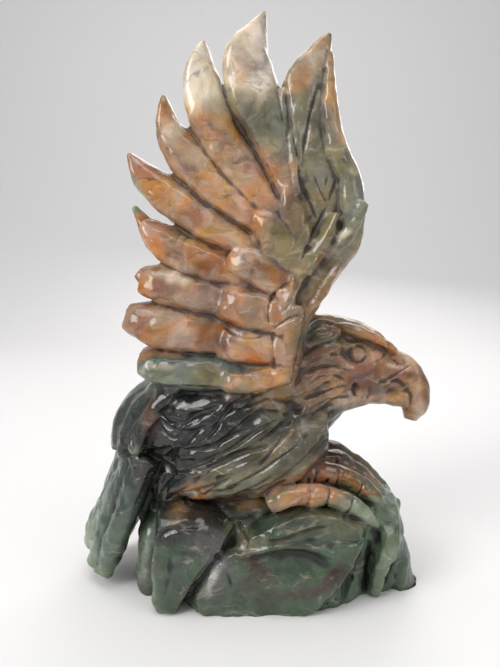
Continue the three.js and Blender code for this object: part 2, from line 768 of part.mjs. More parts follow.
// Where pieces cross, the cut leaves rows of tiny facets. They are merged edge by edge, each to a
// point that lies within a small slack of every facet round it, until few enough are left.
const MOST_FACETS = 9900;
const SLACKS = [0.02, 0.05, 0.09, 0.14, 0.2];
const LONGEST_MERGED = 4;
const SLIVER_AREA = 0.01;
const LEAST_TURN = 0.35; // cosine of the most that a facet may turn in one merge
function merged(solid) {
  const from = solid.getMesh();
  const points = [];
  for (let i = 0; i < from.numVert; i++) {
    const k = i * from.numProp;
    points.push(new THREE.Vector3(...from.vertProperties.subarray(k, k + 3)));
  }
  const faces = [];
  const around = points.map(() => new Set());
  for (let k = 0; k < from.triVerts.length; k += 3) {
    const face = [...from.triVerts.subarray(k, k + 3)];
    face.forEach((v) => around[v].add(faces.length));
    faces.push(face);
  }
  let left = faces.length;

  const neighbours = (v) => new Set([...around[v]].flatMap((f) => faces[f]).filter((w) => w !== v));
  const normalOf = ([a, b, c]) => b.clone().sub(a).cross(c.clone().sub(a));
  const allows = (a, b, spot, slack) => {
    for (const f of new Set([...around[a], ...around[b]])) {
      const face = faces[f];
      if (face.includes(a) && face.includes(b)) continue;
      const before = normalOf(face.map((v) => points[v]));
      const after = normalOf(face.map((v) => (v === a || v === b ? spot : points[v])));
      const [oldArea, newArea] = [before.length() / 2, after.length() / 2];
      if (newArea < 1e-6) return false;
      if (oldArea < SLIVER_AREA && newArea < 5 * SLIVER_AREA) continue;
      if (before.normalize().dot(after.normalize()) < LEAST_TURN) return false;
      if (Math.abs(spot.clone().sub(points[face[0]]).dot(before)) > slack) return false;
    }
    return true;
  };
  const merge = (a, b, slack) => {
    const nextToA = neighbours(a);
    const shared = [...neighbours(b)].filter((v) => nextToA.has(v));
    if (shared.length !== 2) return;
    const between = points[a].clone().lerp(points[b], 0.5);
    const spot = [points[a], points[b], between].find((p) => allows(a, b, p, slack));
    if (!spot) return;
    points[a] = spot.clone();
    for (const f of [...around[b]]) {
      if (faces[f].includes(a)) {
        faces[f].forEach((v) => around[v].delete(f));
        faces[f] = null;
        left -= 1;
      } else {
        faces[f] = faces[f].map((v) => (v === b ? a : v));
        around[a].add(f);
      }
    }
    around[b].clear();
  };

  for (const slack of SLACKS) {
    const edges = [];
    faces.filter(Boolean).forEach((face) => {
      face.forEach((a, k) => {
        const b = face[(k + 1) % 3];
        const length = points[a].distanceTo(points[b]);
        if (a < b && length < LONGEST_MERGED) edges.push([a, b, length]);
      });
    });
    edges.sort((one, other) => one[2] - other[2]);
    for (const [a, b] of edges) {
      if (left <= MOST_FACETS) break;
      if (around[a].size && around[b].size && neighbours(a).has(b)) merge(a, b, slack);
    }
  }

  const kept = points.map((_, v) => v).filter((v) => around[v].size);
  const renamed = new Map(kept.map((v, i) => [v, i]));
  return solidFrom(
    new Float32Array(kept.flatMap((v) => points[v].toArray())),
    new Uint32Array(faces.filter(Boolean).flatMap((face) => face.map((v) => renamed.get(v)))),
  );
}

// Cut level with the ground, put over the origin and made to size, with no sealed hollow inside.
function finished(solid) {
  const reach = 400;
  const ground = new THREE.BoxGeometry(reach, reach, reach).translate(0, 0, -reach / 2);
  ground.deleteAttribute("normal");
  ground.deleteAttribute("uv");
  const under = mergeVertices(ground, 1e-4);
  const cut = solid.subtract(solidFrom(under.attributes.position.array, new Uint32Array(under.index.array)));
  const outer = merged(cut.decompose().sort((a, b) => b.volume() - a.volume())[0]);
  const box = outer.boundingBox();
  const drawn = box.max.map((high, axis) => high - box.min[axis]);
  const made = [LENGTH, THICKNESS, HEIGHT].map((size, axis) => size / drawn[axis]);
  const middle = [0, 1].map((axis) => (box.min[axis] + box.max[axis]) / 2);
  return outer.translate([-middle[0], -middle[1], -box.min[2]]).scale(made);
}

const mesh = finished(eagle()).getMesh();
const geometry = new THREE.BufferGeometry();
const stride = mesh.numProp;
const positions = new Float32Array(mesh.numVert * 3);
for (let i = 0; i < mesh.numVert; i++) {
  positions.set(mesh.vertProperties.subarray(i * stride, i * stride + 3), i * 3);
}
geometry.setAttribute("position", new THREE.BufferAttribute(positions, 3));
geometry.setIndex(new THREE.BufferAttribute(mesh.triVerts, 1));
geometry.computeVertexNormals();

const jasper = new THREE.MeshStandardMaterial({ color: 0x8a7455, roughness: 0.28, metalness: 0 });
const eagleCarving = new THREE.Mesh(geometry, jasper);
eagleCarving.name = "eagle_carving";

const group = new THREE.Group();
group.name = "jasper_eagle_carving";
group.add(eagleCarving);
export default group;
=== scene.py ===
# The looks of the jasper eagle carving: the same forms as its solid, finely carved and polished,
# in one piece of banded jasper, on a pale floor in soft light.
import math

import bpy
import numpy as np
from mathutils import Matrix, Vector, noise


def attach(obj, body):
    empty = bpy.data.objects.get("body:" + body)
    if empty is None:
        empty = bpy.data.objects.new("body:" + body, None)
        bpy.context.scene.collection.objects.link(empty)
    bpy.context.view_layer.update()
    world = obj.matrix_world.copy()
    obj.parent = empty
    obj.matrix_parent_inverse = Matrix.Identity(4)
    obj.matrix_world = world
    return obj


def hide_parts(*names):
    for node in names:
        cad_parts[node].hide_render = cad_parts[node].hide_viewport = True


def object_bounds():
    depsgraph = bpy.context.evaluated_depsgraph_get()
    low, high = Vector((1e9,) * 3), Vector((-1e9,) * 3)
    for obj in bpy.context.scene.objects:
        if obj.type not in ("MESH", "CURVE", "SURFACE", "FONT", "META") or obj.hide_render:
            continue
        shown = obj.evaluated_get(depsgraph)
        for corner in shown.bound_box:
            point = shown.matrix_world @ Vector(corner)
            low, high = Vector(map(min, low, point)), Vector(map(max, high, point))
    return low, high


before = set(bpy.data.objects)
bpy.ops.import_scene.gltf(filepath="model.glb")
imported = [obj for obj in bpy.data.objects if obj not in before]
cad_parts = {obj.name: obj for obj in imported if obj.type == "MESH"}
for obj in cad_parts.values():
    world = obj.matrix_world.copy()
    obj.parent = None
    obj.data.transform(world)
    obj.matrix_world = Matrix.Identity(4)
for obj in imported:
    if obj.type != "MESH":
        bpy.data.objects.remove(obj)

CAD_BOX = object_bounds()

# the pattern
NEAR, FAR = -1, 1
# How every form is drawn, in pattern millimetres: x towards the beak, z up, and out from the
# middle plane of the bird.

# Upright slices through the torso, neck and skull: [x, middle height, half height, half width].
TORSO = [
    [-46, 54, 8, 8],
    [-38, 56, 14, 15],
    [-26, 57, 19, 21],
    [-12, 58, 23, 23.5],
    [2, 60, 26, 24],
    [13, 64.5, 27, 20.5],
    [22, 72, 23.8, 16],
    [32, 77.6, 17.2, 13.2],
    [40, 77.2, 14.8, 11.4],
    [46, 76.5, 11.4, 9],
    [49, 75.2, 8, 6.6],
]

# The same through a thigh, whose middle is THIGH_OUT off the middle plane, and the least that
# the flank stands out.
THIGH_OUT = 13
THIGH = [
    [-30, 38, 3.5, 4],
    [-22, 42, 8.5, 8.5],
    [-10, 47, 13.5, 12],
    [4, 51, 16.5, 13],
    [15, 54, 15, 11.5],
    [24, 56, 9, 7],
]
LEAST_FLANK = 3

# Two eggs of stone: the lower back between the thighs and the tail, and the corner that is left
# over the slit between the tail and the rock.
LOWER_BACK = {"centre": [-28.6, 0, 37], "halves": [9.4, 18, 14]}
TAIL_FILLET = {"centre": [-37, 0, 29], "halves": [8.6, 10, 11.6]}

# A feather is a flat blade: its middle line of [x, z] points from root to tip, its half widths
# along it, and its [back, front] distances out at the root and the tip. At the very tip it keeps
# TIP_THINNING of its thickness, and the thinning starts at THINNING_FROM of its length.
TIP_THINNING = 0.6
THINNING_FROM = 0.75

# The flight feathers of a wing, from the leading one at the top to the last one on the back.
FLIGHT = [
    {"spine": [[30.6, 124], [30.4, 138], [25.6, 150], [23.6, 163], [23.4, 178]],
     "half": [4.6, 5, 4.6, 3, 1.2], "out": [[9, 23], [12, 20]]},
    {"spine": [[24, 122], [21.5, 138], [17.8, 152], [16.4, 165], [19, 175], [23.4, 184]],
     "half": [9, 9.5, 9.5, 9.8, 6, 0.9], "out": [[10, 21], [12, 19]]},
    {"spine": [[14, 134], [13.6, 146], [13.4, 157], [15.6, 168]], "half": [3, 4, 3.4, 0.8],
     "out": [[10, 22.5], [12, 20]]},
    {"spine": [[12.6, 132], [7, 150], [0.2, 165], [-2.4, 177], [2.8, 190]], "half": [5, 7, 9, 8, 0.9],
     "out": [[10, 22], [12, 20]]},
    {"spine": [[6, 130], [-7, 147], [-14, 160], [-17, 171], [-16.4, 181.6]],
     "half": [5, 7.4, 8, 6, 0.9], "out": [[10, 22.5], [12, 20]]},
    {"spine": [[2, 126], [-11.5, 137.5], [-21.5, 147.5], [-27.5, 156], [-28.8, 165]],
     "half": [5, 7.4, 7.6, 4.6, 0.9], "out": [[10, 22.5], [11.5, 20]]},
    {"spine": [[-1, 119], [-15, 126.5], [-27, 134.5], [-35, 140.5], [-40.2, 147.6]],
     "half": [5, 6.8, 7, 5, 0.9], "out": [[10, 22.5], [11.5, 20]]},
    {"spine": [[-3, 110], [-17, 114.5], [-28, 119.6], [-36.5, 126]], "half": [6, 7, 6.6, 2.6],
     "out": [[9.5, 22.5], [11, 20]]},
    {"spine": [[-4, 101], [-18, 104], [-30, 106.6], [-38, 107.8]], "half": [6.5, 7.2, 7, 4.6],
     "out": [[9.5, 23], [10.5, 20.5]]},
    {"spine": [[-4, 90], [-18, 91.6], [-32, 93.4], [-43, 95.6]], "half": [7, 8, 8.2, 4.2],
     "out": [[9, 23.5], [9.5, 20.5]]},
    {"spine": [[-4, 78.5], [-18, 78.6], [-30, 79.4], [-39, 80.6]], "half": [7, 7.6, 7.4, 4.4],
     "out": [[8, 24], [7, 20.5]]},
]

# Two tips of the layer behind, which show past the edge of the near wing.
UNDER_TIPS = [
    {"spine": [[-22, 112], [-33, 121.5], [-40.2, 131.6]], "half": [5, 4.6, 0.8],
     "out": [[9, 14], [9.5, 13.5]]},
    {"spine": [[-22, 103], [-33, 106.6], [-39.6, 110.4]], "half": [5, 4.8, 2],
     "out": [[9, 14], [9, 13.5]]},
]

# The short coverts that overlap the roots of the flight feathers, from the top one down, the share
# of width that their round edges add, and the bed under them, which leaves no pit between their roots.
COVERTS = [
    {"spine": [[17, 118], [12.6, 129], [9, 139.4]], "half": [5.4, 5, 0.9],
     "out": [[10, 24.5], [12, 23]]},
    {"spine": [[17, 111], [8.6, 120.6], [1, 129.4]], "half": [6, 8, 3], "out": [[10, 26], [12, 24.5]]},
    {"spine": [[14, 105.6], [3, 111.8], [-7.8, 116.4]], "half": [6.4, 7, 5],
     "out": [[10, 26.5], [12, 25]]},
    {"spine": [[12, 97], [0, 99.4], [-11.4, 102]], "half": [7, 7.4, 5.6], "out": [[10, 27], [12, 25.5]]},
    {"spine": [[10, 87], [-2, 88], [-12.2, 88.4]], "half": [6, 6.6, 5.2], "out": [[10, 27], [12, 25.5]]},
    {"spine": [[10, 79.5], [-1, 77], [-11.4, 76.2]], "half": [4, 5.2, 3.8],
     "out": [[10, 27.5], [12, 26]]},
]
COVERT_FULLNESS = 1.16
COVERT_BED = {
    "spine": [[2, 76], [0, 90], [0, 104], [4, 118], [9, 128], [11, 133]],
    "half": [8, 8, 7.6, 7.6, 6.6, 4], "out": [[12, 23], [12, 22]],
}

# The broad sheets behind the feathers.
WEB = {
    "spine": [[6, 72], [5, 92], [12, 112], [20, 130], [20, 142]], "half": [9, 10, 12, 12, 8],
    "out": [[11, 19.5], [12, 18.5]],
}
FAN = {
    "spine": [[-8, 74], [-13, 92], [-14, 108], [-9, 124], [0, 138], [8, 150]],
    "half": [12, 16, 16, 14, 11, 6], "out": [[11, 18.5], [12, 17.5]],
}

# Leaf-like plates down the arm of the wing. On the near wing two broad lappets take the place of
# the last two, and the far wing has only the last HIDDEN_ARM_PLATES.
ARM_PLATES = [
    {"spine": [[32.6, 132], [27.6, 122], [20, 113]], "half": [2.8, 4, 1.2],
     "out": [[12, 23.5], [12, 24]]},
    {"spine": [[24.6, 128], [19, 117], [13, 107]], "half": [2, 4, 1.8], "out": [[12, 24.5], [12, 25]]},
    {"spine": [[26, 112.5], [20, 104.5], [15, 96]], "half": [1.6, 3.2, 1.8],
     "out": [[12, 23], [12, 24]]},
    {"spine": [[12, 107], [7.8, 98], [7, 89], [7.8, 77]], "half": [1.6, 3.6, 3.4, 2.2],
     "out": [[12, 27.5], [12, 27]]},
    {"spine": [[16, 101], [12.6, 92], [11.4, 84], [10.6, 74]], "half": [1.6, 3.4, 3.2, 2.4],
     "out": [[12, 26.5], [12, 27]]},
]
LAPPETS = [
    {"spine": [[11, 108.6], [8.8, 102], [8, 95.6], [8, 88]], "half": [1.4, 4, 4.8, 4],
     "out": [[12, 27.4], [12, 27.4]]},
    {"spine": [[11.4, 99.6], [10.8, 94], [9.6, 86], [9, 75.6]], "half": [3.4, 4.8, 4, 2.4],
     "out": [[12, 28.6], [12, 27.8]]},
]
HIDDEN_ARM_PLATES = 2

# A limb is round: its path of [x, out, z] points, and its half widths and half heights along it.
# This one is the thick leading edge of the wing.
ARM = {
    "path": [
        [5, 13, 66], [8, 15, 80], [12, 16, 95], [19, 16, 108], [27, 15.5, 119], [30, 15, 130],
        [27, 15, 142],
    ],
    "wide": [11, 9.5, 8, 7, 6.6, 6, 5], "deep": [8, 7, 6, 6.2, 6.4, 5.8, 4.4],
}

# Locks that lie on the flank and the neck, by middle line and half widths, their back LOCK_ROOT
# deep. The far side has only the first ones.
FLANK_LOCKS = [
    {"spine": [[-2, 72], [-14, 69], [-24, 67.6], [-33, 70.6]], "half": [2, 3.6, 3.6, 1]},
    {"spine": [[-6, 66], [-16, 63.4], [-25, 62], [-32, 64]], "half": [1.6, 3, 3, 0.8]},
    {"spine": [[3, 70], [-7, 63.4], [-16, 57.4], [-28, 52.6]], "half": [1.4, 3, 3.2, 0.5]},
    {"spine": [[9, 64.5], [-1, 59], [-11, 54.2], [-25.5, 49]], "half": [1.4, 3.2, 3.2, 0.5]},
    {"spine": [[12, 61], [3, 54], [-8, 49], [-23, 43.4]], "half": [1.4, 3.2, 3, 0.5]},
    {"spine": [[15, 58], [5, 50.6], [-6, 44.4], [-18, 38.4]], "half": [1.4, 3, 2.8, 0.5]},
    {"spine": [[20, 57.5], [9, 49], [-1, 42.4], [-10, 36]], "half": [1.6, 3, 2.8, 0.5]},
    {"spine": [[24, 55], [13, 45.5], [4, 39], [-3, 33.6]], "half": [1.6, 3.2, 2.8, 0.5]},
    {"spine": [[-13, 50.6], [-22, 47], [-33, 41.4]], "half": [1.6, 2.6, 0.5]},
    {"spine": [[-13, 44.4], [-22, 41], [-34, 34.8]], "half": [1.6, 2.8, 0.5]},
    {"spine": [[-6, 38.6], [-16, 36.4], [-26, 31.6]], "half": [1.6, 2.8, 0.5]},
]
NECK_LOCKS = [
    {"spine": [[31, 92], [25, 89.6], [18, 88.4], [11, 88]], "half": [1, 2.6, 2.8, 1], "rise": 1.2},
    {"spine": [[29, 86.4], [24, 84.4], [18, 82], [12, 79]], "half": [1, 2.4, 2.6, 1], "rise": 1.4},
    {"spine": [[30, 79], [25, 77.4], [19, 74.4], [12, 70.6]], "half": [1, 2.6, 2.8, 1], "rise": 1.5},
    {"spine": [[34, 73], [28, 71.6], [21, 68], [13, 64]], "half": [1, 2.6, 2.8, 0.8], "rise": 1.5},
    {"spine": [[37, 67], [30, 65], [23, 60.6], [16, 55]], "half": [1, 2.6, 2.8, 0.8], "rise": 1.4},
]
LOCK_ROOT = 2.5
HIDDEN_FLANK_LOCKS = 7
HIDDEN_NECK_LOCKS = 3

# Feathers of the rump and the tail.
RUMP_FOLDS = [
    {"spine": [[-26, 74], [-35, 64], [-40.4, 54], [-42, 45.6]], "half": [3, 4.4, 4.2, 2.4],
     "out": [[4, 19.5], [7, 17.5]]},
    {"spine": [[-32, 73], [-40, 64], [-45, 54.6], [-47, 45.6]], "half": [3, 3.8, 3.6, 2.2],
     "out": [[1, 14.5], [4, 13]]},
]
RUMP_RIDGE = {
    "spine": [[-37, 71], [-44.6, 63.6], [-49.6, 55], [-51, 46.4]], "half": [2.4, 3.4, 3.2, 2.2],
    "out": [[-7, 7], [-6.5, 6.5]],
}
TAIL_MIDDLE = {
    "spine": [[-45.4, 48], [-52.6, 30.6], [-57.8, 19], [-61.6, 8]], "half": [5, 4.6, 4.4, 3],
    "out": [[-6, 6], [-5.5, 5.5]],
}
TAIL_STEPS = [
    {"spine": [[-42, 48], [-50.4, 28.6], [-54.9, 16.6], [-58.6, 5.6]], "half": [5, 4.4, 4.3, 3],
     "out": [[2, 13], [2, 11]]},
    {"spine": [[-37.6, 48], [-44.6, 31], [-49.6, 17], [-53.8, 4]], "half": [5.8, 5.4, 4.9, 3.2],
     "out": [[4, 18.5], [6, 16]]},
]

# The head.
UPPER_BEAK = {
    "path": [
        [45, 0, 75.6], [52, 0, 74.4], [57, 0, 71.4], [58.8, 0, 66.6], [58, 0, 61.8], [56.9, 0, 56.8],
    ],
    "wide": [8.8, 7.6, 6.4, 5.6, 4.8, 2.2], "deep": [8.4, 7.4, 5.2, 4.9, 4.9, 2.4],
}
LOWER_BEAK = {
    "path": [[34, 0, 68.4], [42, 0, 67.2], [49, 0, 66.6], [56, 0, 65.2]], "wide": [9, 6.6, 5, 3.6],
    "deep": [5.4, 4.2, 4.2, 4],
}
JAW_PIT = {"x": 34, "z": 69.8, "out": 12.8, "halves": [1.7, 3.4, 3.5], "pitch": -6}
BROW = {
    "path": [[25, 10, 91], [31, 10.6, 91.4], [38, 10.6, 88.6], [46.5, 8.4, 84.4], [49.6, 6, 82.6]],
    "wide": [1, 2.8, 3, 2.6, 1], "deep": [1, 1.8, 2, 1.8, 0.8],
}
CHEEK = {
    "path": [[20, 13, 78.6], [26.4, 12.6, 79.2], [31, 12, 77.2], [38, 11, 77.6], [44.5, 8.6, 81]],
    "wide": [1, 1.8, 2.2, 2, 1], "deep": [0.8, 1.2, 1.4, 1.3, 0.8],
}
CERE_EDGE = {
    "path": [[54.6, 3.6, 80], [51.4, 6.4, 76], [46.5, 8.6, 72.6], [41, 9.6, 71.6]],
    "wide": [1.4, 1.5, 1.6, 1.2], "deep": [0.9, 1, 1.1, 0.9],
}
EYE = {"x": 34.9, "z": 82.5, "out": 11.4, "radius": 2.7}
SOCKET = {"x": 34.4, "z": 82.6, "out": 15, "halves": [7.2, 4.2, 4], "pitch": 12}

# Toes as paths of [x, out, z] points, with a swelling at each joint.
TOES = [
    [
        [4, 23, 34.6], [9, 24, 37.4], [16.5, 24.6, 38.4], [23.4, 24.4, 38], [31.6, 24, 34.8],
        [37.4, 23, 30], [40, 22.4, 26.4],
    ],
    [
        [10, 15, 38.5], [20, 16, 42.6], [27.6, 16.4, 42.2], [35, 16, 38.6], [41, 15, 33.6],
        [44.4, 14.6, 28.6],
    ],
    [[12, 5, 40], [22, 6, 44], [30, 6.4, 43], [37, 6, 38.8], [43.4, 6, 33.4], [47.4, 6, 27.6]],
]
HIDDEN_TOES = [
    [[14, -6, 41], [24, -6, 44.6], [32, -6, 42.4], [40, -6.4, 37], [47, -7, 31], [51.6, -7, 25.6]],
    [
        [4, -23, 35], [14, -22, 37.4], [23, -21, 38], [32, -19.6, 35.6], [40, -18.4, 30.6],
        [44, -18, 25.4],
    ],
]
TOE_WIDE = [4.6, 4.9, 3.9, 4.8, 3.6, 4.4, 3.2, 2.4, 0.8]
TOE_DEEP = [3.6, 3.9, 3.1, 3.8, 3, 3.4, 2.6, 2, 0.7]

# The rock's core: [z, middle x, half length, half width] from the foot up, with waves round it.
ROCK_LEVELS = [
    [0, 7, 44, 27],
    [8, 7, 43, 27],
    [17, 7, 40, 25.5],
    [25, 5, 38, 23],
    [31, 2, 34, 19],
    [37, 0, 24, 12],
]
ROCK_WAVES = [{"turns": 3, "size": 0.03, "shift": 0.6}, {"turns": 5, "size": 0.03, "shift": 2.1}]

# A facet of the rock: its outline of [x, z] points, standing from its back distance to its front
# one, drawn in by a share and swelling in the middle. Its edge turns to the front SLAB_EDGE in.
SLAB_EDGE = 0.3
NEAR_FACETS = [
    {
        "outline": [
            [-34, 12], [-34.4, 2], [-32, -2], [-26, -2], [-22.6, 3.4], [-18.6, 10], [-12, 18.6],
            [-6.6, 27], [-15, 31.4], [-24, 33], [-32.4, 33.4], [-33.4, 22],
        ],
        "out": [6, 29.6], "inset": 0.2, "swell": 0.4,
    },
    {
        "outline": [
            [-24, 4], [-21, -2], [-7, -3], [6, -3], [19, -1], [25, 4.4], [29, 9], [33, 15], [37, 25.4],
            [23, 24.6], [9.4, 25.4], [0, 24.4], [-12.4, 21], [-19, 12],
        ],
        "out": [8, 29.4], "inset": 0.14, "swell": 2,
    },
    {
        "outline": [
            [-9, 20.6], [0, 20.6], [10, 23], [23, 22.6], [36.6, 24.6], [36.6, 29], [29, 32.8],
            [21, 34.6], [13, 33.8], [4, 30], [-5, 26],
        ],
        "out": [8, 28.6], "inset": 0.2, "swell": 0.6,
    },
    {
        "outline": [
            [43, 27], [39.6, 16.5], [36.8, 3], [38.4, -2], [42, -2], [45.6, 8], [49.4, 20], [49, 27.4],
        ],
        "out": [0, 21], "inset": 0.3, "swell": 0.8,
    },
    {"outline": [[36, 24], [34, 10], [31, -2], [48, -2], [50, 12], [50, 24], [48, 30]],
     "out": [0, 16.4], "inset": 0.12, "swell": 0},
    {"outline": [[38, 22], [37, 31], [43, 33], [50, 30.4], [52, 20], [45, 18]], "out": [-10, 17],
     "inset": 0.3, "swell": 0.6},
]
FAR_FACETS = [
    {"outline": [[-34, 8], [-30, -2], [-12, -2], [-4, 12], [-6, 27], [-22, 32], [-33, 26]],
     "out": [6, 28], "inset": 0.24, "swell": 0.8},
    {"outline": [[-10, 6], [-6, -2], [20, -3], [30, 6], [33, 20], [20, 31], [2, 30], [-8, 20]],
     "out": [6, 27.6], "inset": 0.2, "swell": 1.8},
    {"outline": [[28, 20], [25, 6], [28, -2], [50, -2], [52, 12], [49, 26], [36, 31]], "out": [2, 20.4],
     "inset": 0.28, "swell": 0.8},
]

# The stumps at the rock's two ends, and hollows: middle, half sizes and pitch of an egg.
ROCK_ENDS = [
    {"path": [[48.6, 2, 28], [49.4, 3, 16], [50.6, 3, 6], [51.4, 2, -3]], "wide": [8, 11.5, 13, 14],
     "deep": [3.4, 4.4, 5.6, 7.4]},
    {"path": [[-33, 0, 30], [-35.6, 0, 18], [-36.6, 0, 6], [-36, 0, -3]], "wide": [13, 17, 19, 17],
     "deep": [5, 6, 7, 6]},
]
ROCK_HOLLOWS = [
    [[15, -31.6, 18.6], [12.5, 3.4, 4.6], 6],
    [[38.4, -20.4, 10], [0.9, 7.5, 11], 5],
    [[33.6, -26.6, 12.6], [3, 9, 15], 22],
]

# the drawn strokes
# The camera that the photo was taken with: its place, the degrees that it looks down, and its focal
# length in the photo's pixels.
PHOTO_SIZE = (500, 667)
LENS_PIXELS = 523.0
CAMERA_PATTERN = [-1.85, -187.0, 106.0]
CAMERA_DOWN = 5.34

# Enlarged windows of the photo that strokes were drawn in: left, top and enlargement.
WINDOWS = {
    "photo": (0, 0, 1),
    "head": (300, 295, 5),
    "wing": (118, 150, 3.3),
    "feet": (220, 440, 3.6),
    "rock": (75, 430, 4.2),
}
